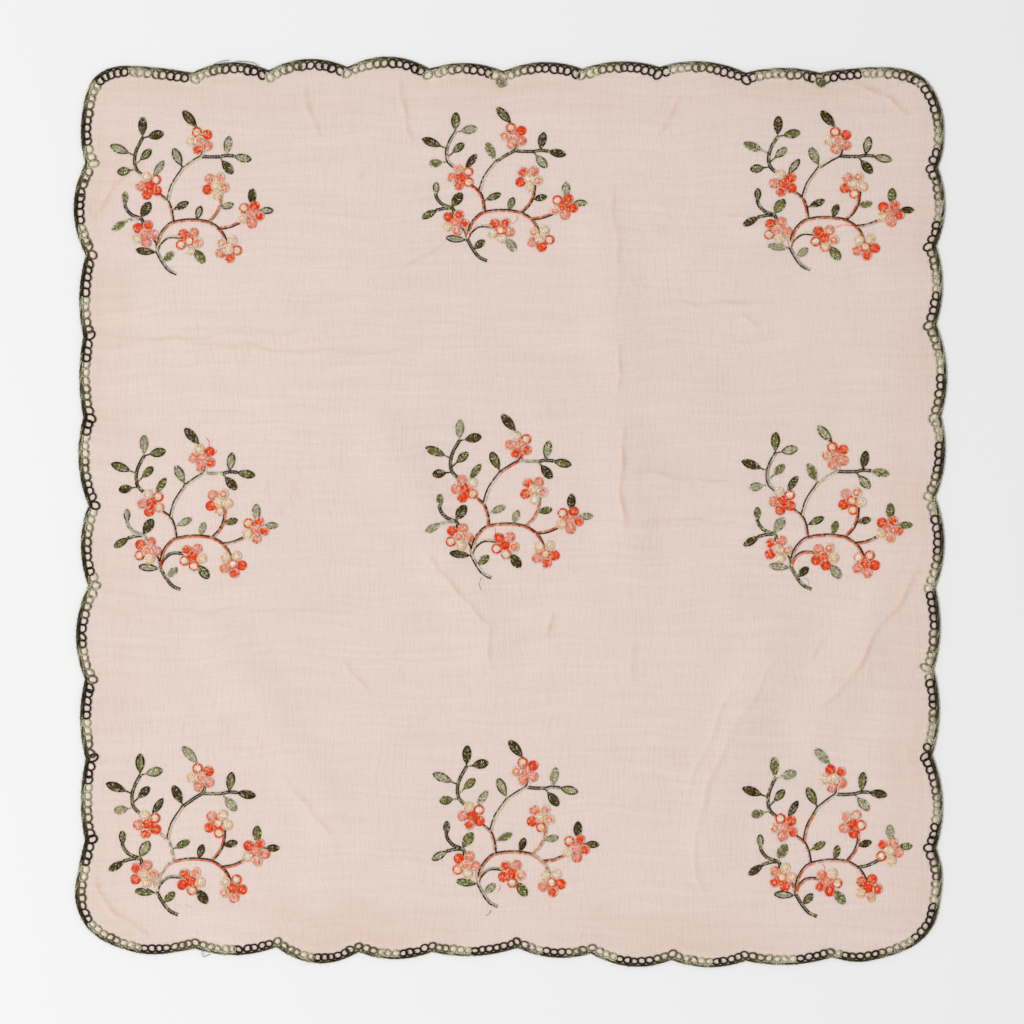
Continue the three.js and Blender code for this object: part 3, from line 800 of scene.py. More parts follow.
def ramp_node(tree, value, low, high):
    """0 up to "low", 1 from "high", and an even rise between them."""
    node = tree.nodes.new("ShaderNodeMapRange")
    node.inputs["From Min"].default_value = low
    node.inputs["From Max"].default_value = high
    tree.links.new(value, node.inputs["Value"])
    return node.outputs[0]


def mix_node(tree, blend, factor, first, second):
    """Two colours blended by a factor."""
    node = tree.nodes.new("ShaderNodeMix")
    node.data_type = "RGBA"
    node.blend_type = blend
    feed(tree, (node.inputs[0], node.inputs[6], node.inputs[7]), (factor, first, second))
    return node.outputs[2]


def grey_node(tree, value):
    node = tree.nodes.new("ShaderNodeCombineColor")
    for channel in node.inputs:
        tree.links.new(value, channel)
    return node.outputs[0]


def attribute_node(tree, name):
    node = tree.nodes.new("ShaderNodeAttribute")
    node.attribute_name = name
    return node.outputs["Fac"]


def noise_node(tree, vector, stretch, detail=2):
    """Noise with its own scale along X, Y and Z, in features a metre."""
    mapping = tree.nodes.new("ShaderNodeMapping")
    mapping.inputs["Scale"].default_value = stretch
    tree.links.new(vector, mapping.inputs["Vector"])
    noise = tree.nodes.new("ShaderNodeTexNoise")
    noise.inputs["Scale"].default_value = 1.0
    noise.inputs["Detail"].default_value = detail
    tree.links.new(mapping.outputs[0], noise.inputs["Vector"])
    return noise.outputs["Fac"]


def object_position(tree):
    return tree.nodes.new("ShaderNodeTexCoord").outputs["Object"]


@lru_cache(maxsize=1)
def fibre_group():
    """Fine fibres of a twisted thread: its colour streaked light and dark, and a height for its bump."""
    group, inside, out = new_group(
        "Thread fibres",
        [("Colour", "NodeSocketColor", (0.5, 0.5, 0.5, 1)), ("Contrast", "NodeSocketFloat", 0.5)],
        [("Colour", "NodeSocketColor"), ("Height", "NodeSocketFloat")],
    )
    position = object_position(group)
    fine = noise_node(group, position, (2600, 2600, 2600), 3)
    coarse = noise_node(group, position, (520, 520, 520))
    both = weighted_sum(group, fine, 0.6, coarse, 0.4)
    spread = around_middle(group, both, inside.outputs["Contrast"])
    level = math_node(group, "ADD", math_node(group, "MULTIPLY", spread, 2.0), 1.0)
    streaked = mix_node(group, "MULTIPLY", 1.0, inside.outputs["Colour"], grey_node(group, level))
    group.links.new(streaked, out.inputs["Colour"])
    group.links.new(both, out.inputs["Height"])
    return group


def shader(name):
    """A material with a plain Principled shader. Returns the material, its node tree and the shader."""
    material = bpy.data.materials.new(name)
    material.use_nodes = True
    tree = material.node_tree
    return material, tree, tree.nodes["Principled BSDF"]


def bump(tree, height, principled):
    node = tree.nodes.new("ShaderNodeBump")
    node.inputs["Distance"].default_value = BUMP_DISTANCE
    tree.links.new(height, node.inputs["Height"])
    tree.links.new(node.outputs[0], principled.inputs["Normal"])


def thread_material(name, roughness, contrast):
    """Thread or yarn in the colours of its stitches, streaked by its fibres."""
    material, tree, principled = shader(name)
    thread = tree.nodes.new("ShaderNodeVertexColor")
    thread.layer_name = "thread"
    fibres = tree.nodes.new("ShaderNodeGroup")
    fibres.node_tree = fibre_group()
    fibres.inputs["Contrast"].default_value = contrast
    tree.links.new(thread.outputs["Color"], fibres.inputs["Colour"])
    tree.links.new(fibres.outputs["Colour"], principled.inputs["Base Color"])
    bump(tree, fibres.outputs["Height"], principled)
    principled.inputs["Roughness"].default_value = roughness
    principled.inputs["Specular IOR Level"].default_value = 0.22
    return material


def voile_material(cloth):
    """Sheer plain weave with thicker, warmer threads here and there, mostly upright ones."""
    material, tree, principled = shader("Blush voile")
    position = object_position(tree)
    wander = tree.nodes.new("ShaderNodeTexNoise")
    wander.inputs["Scale"].default_value = 13
    tree.links.new(position, wander.inputs["Vector"])
    pulled = tree.nodes.new("ShaderNodeVectorMath")
    pulled.operation = "MULTIPLY_ADD"
    pulled.inputs[1].default_value = (0.022, 0.022, 0)
    tree.links.new(wander.outputs["Color"], pulled.inputs[0])
    tree.links.new(position, pulled.inputs[2])
    threads_at = pulled.outputs[0]
    upright = noise_node(tree, threads_at, (560, 62, 1), 3)
    level = noise_node(tree, threads_at, (15, 380, 1), 3)
    patches = noise_node(tree, position, (17, 17, 17))
    clouds = noise_node(tree, position, (6, 6, 6))
    grain = noise_node(tree, position, (1300, 700, 1))

    thick = ramp_node(tree, upright, 0.5, 0.95)
    slubs = math_node(tree, "MULTIPLY", thick, ramp_node(tree, patches, 0.3, 0.8))
    colour = mix_node(tree, "MIX", slubs, (*cloth.colour, 1), (*cloth.warm, 1))
    # Warm painted shade along the edge and along the creases.
    colour = mix_node(tree, "MIX", attribute_node(tree, "painted_warm_shade"), colour, (*cloth.warm, 1))
    # The turned edge is paler: partly its own tone, partly painted light against the loops' shade. It is also
    # opaque.
    hem_and_painted_light = attribute_node(tree, "hem_and_painted_light")
    colour = mix_node(tree, "MIX", hem_and_painted_light, colour, (*cloth.hem_and_painted_light, 1))

    uneven = [
        around_middle(tree, noise, amount)
        for noise, amount in ((level, 0.15), (upright, 0.10), (grain, 0.14), (clouds, 0.06))
    ]
    halves = (math_node(tree, "ADD", *uneven[:2]), math_node(tree, "ADD", *uneven[2:]))
    brightness = grey_node(tree, math_node(tree, "ADD", math_node(tree, "ADD", *halves), 1.0))
    tree.links.new(mix_node(tree, "MULTIPLY", 1.0, colour, brightness), principled.inputs["Base Color"])

    weave = []
    for direction in ("X", "Y"):
        wave = tree.nodes.new("ShaderNodeTexWave")
        wave.bands_direction = direction
        wave.inputs["Scale"].default_value = 2 * math.pi / 20 / cloth.thread_pitch
        tree.links.new(position, wave.inputs["Vector"])
        weave.append(wave.outputs["Fac"])
    threads = math_node(tree, "MAXIMUM", *weave)
    open_share = math_node(tree, "MULTIPLY", math_node(tree, "SUBTRACT", 1.0, threads), 1 - cloth.cover)
    covered = math_node(tree, "SUBTRACT", 1.0, open_share)
    tree.links.new(math_node(tree, "MAXIMUM", covered, hem_and_painted_light), principled.inputs["Alpha"])
    bump(tree, weighted_sum(tree, level, 2.0, upright, 3.0), principled)
    principled.inputs["Roughness"].default_value = 0.85
    principled.inputs["Specular IOR Level"].default_value = 0.2
    return material


# Pieces

FINE_STEP = 2.2  # spacing of the cloth's points on its rim and along its creases
CREASE_ROWS = (-5.5, -3.4, -2.1, -1.1, 0, 1.1, 2.1, 3.4, 5.5)  # rows of points on and beside a crease
BESIDE_CREASE = 8  # how far from a crease its rows of points and its tint may lie
HEM_WIDTH = 7.2  # width of the turned edge, measured from the cord's outer side
STRAND_SHARE = 0.28  # radius of a strand as a share of the cord's width
BEAD_SWELL = 0.14  # how much thicker a bead is than its strand
HAIRS = 900
HAIR_RADIUS = 0.055
LOOSE_STEP = 0.8  # spacing of the points of a loose thread
LOOSE_YARN = {"height": 1.4, "radius": 0.16}
LOOSE_THREAD = {"height": 0.3, "radius": 0.15}  # the height is that above the cloth
KNOT_RINGS = 4
KNOT_YARN_RADIUS = 0.36
SHORTEST_STALK = 0.09  # a leaf whose blade begins nearer to its foot has no stalk of its own

# A chain stitch is a drop, narrow where it leaves the last one and round where the next comes out. Its points
# are shares of its length and of its width. Shade is painted darkest where it comes out of the cloth, and
# light is painted on its round, higher end.
DROP = np.array([(0.02, 0), (0.5, 0.29), (1.08, 0.18), (1.08, -0.18), (0.5, -0.29)])
DROP_PAINTED_SHADE = np.array([1.6, 1.0, 0.75, 0.75, 1.0])
# A straight stitch is highest and thickest in its middle. Light is painted on its middle and shade at its
# ends, so it is palest in its middle.
BAR_HEIGHT = np.array([0, 0.14, -0.05])
BAR_THICKNESS = np.array([0.9, 1.3, 0.8])
BAR_PAINTED_SHADE = np.array([1.3, 0.85, 1.15])
STITCH_TUBE = {"sides": 3, "squash": 0.5}


class BANDANA_OT_cloth(bpy.types.Operator):
    """Lay the sheer cloth on its folds"""

    bl_idname = "bandana.cloth"
    bl_label = "Cloth"

    def execute(self, context):
        cloth = settings("cloth")
        outline = self.outline()
        points, triangles = self.flat_mesh(outline, cloth.cell / MM)
        layers = self.two_layers(points, triangles, len(outline), cloth.thickness / MM)
        piece = mesh_piece("voile_cloth", *layers, voile_material(cloth))
        self.tints(piece, np.vstack([points, points]))
        finish_piece(piece, "cloth_panel")
        return {"FINISHED"}

    def outline(self):
        """The cloth's rim, under the middle of the cord."""
        distance = edge().spaced(int(edge().length / FINE_STEP))
        return edge().inset(distance, edge().cord_width(distance) / 2)

    def flat_mesh(self, line, cell):
        """The cloth's points and triangles, seen from above. The outline's points come first."""
        half = np.abs(line).max(axis=0)
        axes = [np.arange(-math.floor(h / cell), math.floor(h / cell) + 1) * cell for h in half]
        grid = np.stack(np.meshgrid(*axes), axis=-1).reshape(-1, 2)
        for crease in CREASES:
            taken = near_crease(crease, *grid.T, BESIDE_CREASE) & (crease_shape(crease, *grid.T, 7.5) >= 0.3)
            grid = grid[~taken]
        points = np.vstack([grid, self.crease_points()])
        away = np.array([np.min(np.abs(line - p).sum(axis=1)) for p in points])
        points = points[(away > 0.8 * cell) & self.inside(points, line)]
        count = len(line)
        ring = [(i, (i + 1) % count) for i in range(count)]
        found = delaunay_2d_cdt([tuple(p) for p in [*line, *points]], ring, [], 1, 1e-6)
        if len(found[0]) != count + len(points):
            raise RuntimeError("the cloth's outline meets its own grid")
        return np.array([tuple(p) for p in found[0]]), np.array(found[2])

    def crease_points(self):
        """Closer rows of points beside each crease, so that its sharp shape shows."""
        rows = []
        for crease in CREASES:
            line, side = crease_line(crease, FINE_STEP)
            rows += [line + side * offset for offset in CREASE_ROWS]
        points = np.vstack(rows)
        # Where rows cross, each square millimetre keeps one point.
        _, kept = np.unique(np.round(points), axis=0, return_index=True)
        return points[np.sort(kept)]

    def inside(self, points, line):
        """Whether each point lies inside a closed line."""
        x, y = points.T
        crossings = np.zeros(len(points), int)
        for (x0, y0), (x1, y1) in zip(line, np.roll(line, -1, axis=0)):
            spans = (y0 <= y) != (y1 <= y)
            if spans.any():
                meets = x0 + (y[spans] - y0) * (x1 - x0) / (y1 - y0)
                crossings[spans] += x[spans] < meets
        return crossings % 2 == 1

    def two_layers(self, points, triangles, rim, thickness):
        """The cloth's lower and upper side on its folds, and the narrow wall round its rim."""
        x, y = points.T
        middle = lift(x, y)
        lower = np.column_stack([x, y, middle - thickness / 2])
        upper = np.column_stack([x, y, middle + thickness / 2])
        count = len(points)
        i = np.arange(rim)
        following = (i + 1) % rim
        wall = np.vstack([
            np.column_stack([i, following, following + count]),
            np.column_stack([i, following + count, i + count]),
        ])
        a, b, c = points[triangles[0]]
        clockwise = (b - a)[0] * (c - a)[1] < (b - a)[1] * (c - a)[0]
        if clockwise:
            triangles = triangles[:, ::-1]
        return np.vstack([lower, upper]), np.vstack([triangles[:, ::-1], triangles + count, wall])

    def tints(self, piece, points):
        """Marks where warm shade is painted on the cloth, along its edge and its creases, and where its
        turned edge, with painted light, makes it paler.
        """
        x, y = points.T
        line = edge().points[::3]
        away = np.array([np.min(np.hypot(line[:, 0] - a, line[:, 1] - b)) for a, b in points])
        # Two bands of warm painted shade run along the edge, the inner one broader and weaker, and both come
        # and go.
        painted_shade_bands = np.exp(-(((away - 11.5) / 4) ** 2)) + 0.7 * np.exp(-(((away - 24) / 9) ** 2))
        uneven = 0.5 + 0.5 * np.sin(x / 31 + 2 * np.sin(y / 47)) * np.sin(y / 29 + 1)
        painted_shade_strength = 0.3 * painted_shade_bands * uneven
        # Along each crease a warm, darker line of painted shade, partly the warmer tone of the cloth doubled
        # there.
        for crease in CREASES:
            near = near_crease(crease, x, y, BESIDE_CREASE)
            painted_shade_strength[near] += 0.8 * crease["painted_shade_strength"] * crease_shape(crease, x[near], y[near], 1.2)
        # The turned edge under the loops is paler: partly its own tone, partly painted light against the
        # loops' shade.
        hem_and_painted_light = 0.9 * np.clip((HEM_WIDTH - away) / 2, 0, 1)
        for name, values in (("painted_warm_shade", np.clip(painted_shade_strength, 0, 1)), ("hem_and_painted_light", hem_and_painted_light)):
            attribute = piece.data.attributes.new(name, "FLOAT", "POINT")
            attribute.data.foreach_set("value", values)


def side_of(x, y):
    """The number of the side, counter-clockwise from the bottom, that a place near the edge belongs to."""
    upright = np.abs(x) > np.abs(y) * HALF_WIDTH / HALF_HEIGHT
    return np.where(upright, np.where(x > 0, 1, 3), np.where(y < 0, 0, 2))


def edge_tone(distance, shift=0.0):
    """How pale the edge yarn is at a distance along the outline, from 0, dark, to 1, pale."""
    x, y = edge().at(distance).T
    side = side_of(x, y)
    along = np.choose(side, [x, y, -x, -y]) + shift
    tone = np.zeros(len(along))
    for k, run in enumerate(EDGE_YARN_DARK.values()):
        starts, ends = np.array(run["dark"], float).T
        gap_starts = np.concatenate([[starts[0] - END_RUN], ends])
        gap_ends = np.concatenate([starts, [ends[-1] + END_RUN]])
        gap = np.searchsorted(starts, along, side="right")
        t = (along - gap_starts[gap]) / (gap_ends[gap] - gap_starts[gap])
        if run["fades"] == "before":
            t = 1 - t
        dark = (t < 0) | (t > 1)
        here = np.where(dark, 0, np.interp(t, PALE_RUN_AT, PALE_RUN_TONE))
        tone = np.where(side == k, here, tone)
    return tone


def edge_colours(tone):
    """The yarn's colours for tones from 0, dark, to 1, pale."""
    yarn = settings("edge")
    table = np.array([yarn.dark, yarn.middle, yarn.pale])
    tone = np.clip(tone, 0, 1)
    return np.stack([np.interp(tone, [0, 0.5, 1], table[:, k]) for k in range(3)], axis=-1)


class BANDANA_OT_cord(bpy.types.Operator):
    """Wind the cord's three strands round the scalloped edge"""

    bl_idname = "bandana.cord"
    bl_label = "Edge cord"

    def execute(self, context):
        rng = np.random.default_rng(SEED)
        parts = [self.strand(k, rng) for k in range(len(STRANDS))]
        parts.append(self.fuzz(rng))
        parts += [self.loose_end(end) for end in LOOSE_ENDS]
        material = thread_material("Edge yarn", 0.8, 0.7)
        thread_piece("edge_cord_strands", parts, material, "edge_cord")
        return {"FINISHED"}

    def strand(self, k, rng):
        """One strand of the cord, which winds round the others in small beads, by turns pale and dark."""
        yarn = settings("edge")
        strand = STRANDS[k]
        sides = 5
        steps = 2 * round(edge().length / (yarn.bead / MM))
        distance = edge().spaced(steps)
        turns = round(edge().length / (yarn.twist / MM))
        share = turns * distance / edge().length + k / len(STRANDS)
        phase = 2 * math.pi * share + 0.9 * np.sin(distance / 37)
        width = edge().cord_width(distance)
        radius = STRAND_SHARE * width
        flat = edge().inset(distance, width / 2 + (width / 2 - radius) * np.cos(phase))
        height = radius + 0.06 + 0.4 * (1 + np.sin(phase))
        beads = np.tile([1, -1], steps // 2)
        path = np.column_stack([flat, height])
        vertices, faces = tubes([path], radius * (1 + BEAD_SWELL * beads), sides, closed=True)
        tone = strand["base"] + edge_tone(distance, strand["shift"]) * strand["rise"]
        tone += (0.1 + 0.25 * tone) * beads + rng.normal(0, 0.06, steps)
        return vertices, faces, np.repeat(edge_colours(tone), sides, axis=0)

    def fuzz(self, rng):
        """Short hairs of the yarn, mostly on the cord's outer side."""
        points, sides = 3, 3
        distance = rng.uniform(0, edge().length, HAIRS)
        slant = rng.normal(0, 1.1, HAIRS)
        reach = rng.uniform(0.3, 0.85, HAIRS)
        steps = []
        for t in np.linspace(0, 1, points):
            flat = edge().inset(distance + slant * t, 0.35 - reach * (1 - (1 - t) ** 2))
            steps.append(np.column_stack([flat, 0.9 + 0.4 * t * rng.uniform(-1, 1, HAIRS)]))
        vertices, faces = tubes(np.stack(steps, axis=1), HAIR_RADIUS, sides)
        colours = edge_colours(0.25 + 0.75 * edge_tone(distance))
        return vertices, faces, np.repeat(colours, points * sides, axis=0)

    def loose_end(self, end):
        """A free end of the yarn, level with the top of the cord."""
        path = smooth_line(end["through"], LOOSE_STEP)
        path = np.column_stack([path, np.full(len(path), LOOSE_YARN["height"])])
        vertices, faces = tubes([path], LOOSE_YARN["radius"], 4)
        return vertices, faces, np.tile(edge_colours(end["tone"]), (len(vertices), 1))


class BANDANA_OT_loops(bpy.types.Operator):
    """Set the row of small overlapping loops inside the cord"""

    bl_idname = "bandana.loops"
    bl_label = "Loop row"

    def execute(self, context):
        rng = np.random.default_rng(SEED + 1)
        parts = [self.row(rng)]
        parts += [self.knot(knot, rng) for knot in KNOTS]
        material = thread_material("Loop yarn", 0.8, 0.7)
        thread_piece("loop_row_yarn", parts, material, "loop_row")
        return {"FINISHED"}

    def row(self, rng):
        """All the loops, closed rings from the cord inwards. Those in the notches are larger and lean."""
        yarn = settings("edge")
        radius = yarn.loop_thread / MM
        places, at_notch = self.places(yarn.loop_pitch / MM, rng)
        count = len(places)
        points, sides = 18, 5
        sweep = np.arange(points) * 2 * math.pi / points
        inward = edge().inward(places, 4.5)
        ahead = np.stack([inward[:, 1], -inward[:, 0]], axis=-1)
        upright = inward[:, :1] ** 2
        width = (yarn.loop_width / MM * rng.normal(1, 0.06, count))[:, None]
        depth = yarn.loop_depth / MM * (1 - 0.11 * inward[:, 1]) * rng.normal(1, 0.06, count)
        depth = depth * (1 + (0.1 + 0.2 * upright[:, 0]) * at_notch)
        lean = (rng.normal(0, 0.12, count) + 0.2 * at_notch * rng.choice([-1, 1], count))[:, None]
        # Along the sides a loop's legs stand straight at the cord. Elsewhere it is round.
        square = np.where(np.cos(sweep) > 0, 1 - 0.55 * upright, 0.95)
        across = width / 2 * np.sign(np.sin(sweep)) * np.abs(np.sin(sweep)) ** square
        inwards = depth[:, None] / 2 * (1 - np.cos(sweep))
        across = across + inwards * lean
        start = edge().inset(places, edge().cord_width(places) + 0.35 - 0.5 * upright[:, 0])
        flat = start[:, None] + ahead[:, None] * across[..., None] + inward[:, None] * inwards[..., None]
        tilt = 0.15 * (1 + 2 * across / width)
        height = lift(flat[..., 0], flat[..., 1]) + 0.15 + 0.85 * radius + tilt
        paths = np.concatenate([flat, height[..., None]], axis=-1)
        vertices, faces = tubes(paths, radius * rng.normal(1, 0.08, count)[:, None], sides, closed=True)
        tone = edge_tone(places) + rng.normal(0, 0.06, count)
        tone = tone[:, None] + 0.1 * np.cos(sweep * 2 + rng.uniform(0, 6, count)[:, None])
        tone += rng.normal(0, 0.2, tone.shape) * (0.12 + tone)
        return vertices, faces, np.repeat(edge_colours(tone).reshape(-1, 3), sides, axis=0)

    def places(self, pitch, rng):
        """Where each loop stands along the edge, and how much of a notch loop it is, from 0 to 1.

        Each notch has one, and beside the notches they stand closer together."""
        ends = np.append(edge().notches, edge().notches[0] + edge().length)
        rows, marks = [], []
        for start, end in zip(ends, ends[1:]):
            along = np.linspace(start, end, 200)
            away = np.minimum(along - start, end - along)
            crowd = np.cumsum(1 + 0.32 * np.exp(-((away / 5.5) ** 2))) * (end - start) / 200
            loops = round(crowd[-1] / pitch)
            place = np.interp(np.linspace(crowd[0], crowd[-1], loops, endpoint=False), crowd, along)
            place[1:] += rng.normal(0, 0.03 * pitch, loops - 1)
            rows.append(place)
            marks.append(np.exp(-((np.minimum(place - start, end - place) / 4) ** 2)))
        return np.concatenate(rows), np.concatenate(marks)

    def knot(self, knot, rng):
        """A small tangle of rings of the yarn."""
        points, sides = 14, 5
        sweep = np.arange(points) * 2 * math.pi / points
        paths = []
        for k in range(KNOT_RINGS):
            middle = np.array(knot["at"]) + rng.normal(0, 0.7, 2)
            size = rng.uniform(1.3, 2.3, 2)
            angle = rng.uniform(0, math.pi)
            flat = np.column_stack(turned(size[0] * np.cos(sweep), size[1] * np.sin(sweep), angle))
            height = 1.25 + 0.18 * k + 0.25 * np.sin(sweep + k)
            paths.append(np.column_stack([middle + flat, height]))
        vertices, faces = tubes(paths, KNOT_YARN_RADIUS, sides, closed=True)
        tone = knot["tone"] + rng.normal(0, 0.15, len(vertices) // sides)
        return vertices, faces, np.repeat(edge_colours(tone), sides, axis=0)


def thread_colour(letter):
    return np.array(getattr(settings("stitch"), THREADS[letter]))


class Stitches:
    """One sprig's stitches, gathered flat as measured from its fork, and then laid on the cloth."""

    def __init__(self, rng, place):
        self.rng = rng
        self.place = place
        self.chains = []
        self.bars = []
        self.pads = []
        self.loose = []

    def thread(self, letter, count, depth=1.0):
        """Colours of some stitches in one thread, some deeper and some paler."""
        spread = np.clip(self.rng.normal(1, 0.55, (count, 1)), 0.3, 2.4)
        return thread_colour(letter) ** (depth * spread) * self.rng.normal(1, 0.09, (count, 1))

    def chain(self, path, letter, height=0.0, closed=False, stretch=1.0, width=1.0, depth=1.0):
        """A row of even chain stitches along a path."""
        path = np.asarray(path, float)
        if closed:
            path = np.vstack([path, path[:1]])
        steps = np.linalg.norm(np.diff(path, axis=0), axis=1)
        at = np.concatenate([[0], np.cumsum(steps)])
        count = max(1, round(at[-1] / (settings("stitch").length / MM * stretch)))
        ends = np.linspace(0, at[-1], count + 1)
        points = np.column_stack([np.interp(ends, at, path[:, k]) for k in (0, 1)])
        span = np.diff(points, axis=0)
        colours = self.thread(letter, count, depth)
        self.chains.append((points[:-1], span, np.full(count, width), np.full(count, height), colours))

    def satin(self, starts, ends, letter, height=0.0, depth=1.0):
        """Single straight stitches, each from a start to an end."""
        colours = self.thread(letter, len(starts), depth)
        self.bars.append((starts, ends, np.full(len(starts), height), colours))

    def pad(self, outline, rim, core, height, depth):
        """A low cushion of padding inside an outline, in one thread near its rim and one in its middle. A
        depth above 1 paints shade on it, below 1 paints light, where it shows between the stitches.
        """
        self.pads.append((outline, rim, core, height, depth))

    def on_cloth(self, flat, above):
        """Places measured from the fork as places on the cloth, at a height above its upper side."""
        placed = self.place(flat)
        top = lift(placed[..., 0], placed[..., 1]) + settings("cloth").thickness / MM / 2
        return np.concatenate([placed, (top + above)[..., None]], axis=-1)

    def chain_mesh(self):
        at, span, width, height, colour = (np.concatenate(rows) for rows in zip(*self.chains))
        radius = settings("stitch").thread / MM
        size = np.linalg.norm(span, axis=1)
        side = np.column_stack([-span[:, 1], span[:, 0]]) / size[:, None]
        aside = DROP[:, 1] * (settings("stitch").width / MM * width)[:, None]
        flat = at[:, None] + span[:, None] * DROP[:, :1] + side[:, None] * aside[..., None]
        above = radius * 0.9 + height[:, None] + 0.16 * DROP[:, 0]
        return self.tubes_with_painted_shade(flat, above, radius, colour, DROP_PAINTED_SHADE, closed=True)

    def bar_mesh(self):
        starts, ends, height, colour = (np.concatenate(rows) for rows in zip(*self.bars))
        radius = settings("stitch").thread / MM
        flat = np.stack([starts, (starts + ends) / 2, ends], axis=1)
        above = radius * 0.6 + height[:, None] + BAR_HEIGHT
        return self.tubes_with_painted_shade(flat, above, radius * BAR_THICKNESS, colour, BAR_PAINTED_SHADE, closed=False)

    def tubes_with_painted_shade(self, flat, above, radius, colour, painted_shade, closed):
        """A stitch round each path, its own colour with painted shade and painted light at each of its
        points.
        """
        vertices, faces = tubes(self.on_cloth(flat, above), radius, closed=closed, **STITCH_TUBE)
        with_painted_shade = colour[:, None] ** painted_shade[:, None]
        return vertices, faces, np.repeat(with_painted_shade.reshape(-1, 3), STITCH_TUBE["sides"], axis=0)

    def pad_mesh(self, outline, rim, core, height, depth):
        """A pad as a closed cushion: a high middle, a ring round it, and the outline above and below."""
        count = len(outline)
        middle = outline.mean(axis=0)
        inner = middle + (outline - middle) * 0.6
        flat = np.vstack([middle, inner, outline, outline, middle])
        above = np.repeat([height, height * 0.6, 0], [1 + count, count, count + 1])
        i = np.arange(count)
        j = (i + 1) % count
        first, second, third, last = 1, 1 + count, 1 + 2 * count, 1 + 3 * count
        faces = np.vstack([
            np.column_stack([np.zeros(count, int), first + i, first + j]),
            halved(np.column_stack([first + i, second + i, second + j, first + j])),
            halved(np.column_stack([second + i, third + i, third + j, second + j])),
            np.column_stack([third + i, np.full(count, last), third + j]),
        ])
        # Raised to the depth, the pad's colours carry painted shade above 1 and painted light below 1, in the
        # gaps between the stitches.
        painted_shade_pad_colours = np.array([thread_colour(core), thread_colour(rim), thread_colour(core)]) ** depth
        colours = np.repeat(painted_shade_pad_colours, [1 + count, 2 * count, 1], axis=0)
        return self.on_cloth(flat, above), faces, colours

    def stray(self, points, letter):
        """A loose thread that lies across the cloth."""
        path = self.on_cloth(smooth_line(points, LOOSE_STEP), LOOSE_THREAD["height"])
        vertices, faces = tubes([path], LOOSE_THREAD["radius"], 4)
        self.loose.append((vertices, faces, np.repeat(self.thread(letter, len(path)), 4, axis=0)))

    def parts(self):
        """All of the sprig's stitches as parts of one piece."""
        pads = [self.pad_mesh(*pad) for pad in self.pads]
        return [self.chain_mesh(), self.bar_mesh(), *pads, *self.loose]


def circle(middle, radius, count, start):
    angle = start + np.arange(count) * 2 * math.pi / count
    return np.column_stack([middle[0] + radius * np.cos(angle), middle[1] + radius * np.sin(angle)])


def petal_rows(stitches, middle, letter, start):
    """A round petal on its pad: three rings of chain stitches, each in its own thread."""
    threads = PETAL_THREADS[letter]
    # Its depth below 1 paints light on the pad where it shows between the rings.
    stitches.pad(circle(middle, PAD_RADIUS, 12, start), *threads[:2], height=0.4, depth=0.9)
    for reach, thread in zip(PETAL_RINGS, threads, strict=True):
        ring = circle(middle, reach, 20, start + reach)
        stitches.chain(ring, thread, height=0.1 + 0.08 * reach, closed=True, stretch=0.95)


def blossom_rows(stitches, blossom, word):
    """A blossom: its round middle and the five petals round it."""
    for k, letter in enumerate(word):
        angle = math.radians(blossom["turn"] + 72 * (k - 1))
        reach = 0 if k == 0 else PETAL_REACH
        middle = np.array(blossom["at"]) + reach * np.array([math.cos(angle), math.sin(angle)])
        petal_rows(stitches, middle, letter, angle)


class Blade:
    """A leaf's blade, plump and pointed, in millimetres."""

    def __init__(self, leaf):
        foot, tip = np.array(leaf["foot"], float), np.array(leaf["tip"], float)
        self.foot = foot
        self.start = foot + (tip - foot) * leaf["stalk"]
        self.length = np.linalg.norm(tip - self.start)
        self.ahead = (tip - self.start) / self.length
        self.side = np.array([-self.ahead[1], self.ahead[0]])
        self.half = leaf["width"] / 2

    def half_width(self, share):
        """Half the blade's width at a share of its length."""
        return self.half * np.sin(math.pi * np.clip(share, 0, 1) ** 1.12) ** 0.66

    def at(self, share, across):
        share, across = np.asarray(share, float), np.asarray(across, float)
        return self.start + self.ahead * (share * self.length)[..., None] + self.side * across[..., None]

    def rim(self, inset, count=9):
        """The blade's outline, drawn in a little all round."""
        share = np.linspace(0.07, 0.93, count)
        half = np.maximum(self.half_width(share) - inset, 0.15)
        ends = self.at([inset * 0.6 / self.length, 1 - inset * 1.1 / self.length], [0, 0])
        return np.vstack([ends[:1], self.at(share, half), ends[1:], self.at(share, -half)[::-1]])


def leaf_rows(stitches, leaf, letter):
    """A leaf: a stalk, a rim of chain stitches, and slanting satin stitches from its middle to its rim."""
    rim, core = LEAF_THREADS[letter]
    blade = Blade(leaf)
    if leaf["stalk"] > SHORTEST_STALK:
        stitches.chain([blade.foot, blade.at(0.08, 0)], rim, height=0.05)
    # Its depth above 1 paints shade on the pad where it shows between the stitches.
    stitches.pad(blade.rim(0.4, 6), rim, core, height=0.24, depth=1.3)
    stitches.chain(blade.rim(0.42), rim, height=0.14, closed=True, width=0.85, depth=1.35)
    pitch = settings("stitch").satin_pitch / MM / blade.length
    share = np.arange(0.12, 0.86, pitch)
    middle = blade.at(share, np.zeros(len(share)))
    reach = np.maximum(blade.half_width(share + 0.1) - 0.7, 0.3)
    for sign in (1, -1):
        out = blade.at(share + 0.1, sign * reach)
        stitches.satin(middle + blade.side * sign * 0.1, out, core, height=0.2, depth=0.72)


def stem_rows(stitches, stem, letters):
    """A stem: a row of long chain stitches on its left and one on its right."""
    line, left = line_and_left(stem, 1.2)
    for sign, letter in zip((1, -1), letters, strict=True):
        row = DARK_STEM if letter in "og" else PALE_STEM
        stitches.chain(line + left * sign * row["aside"], letter, stretch=1.25, **row["look"])


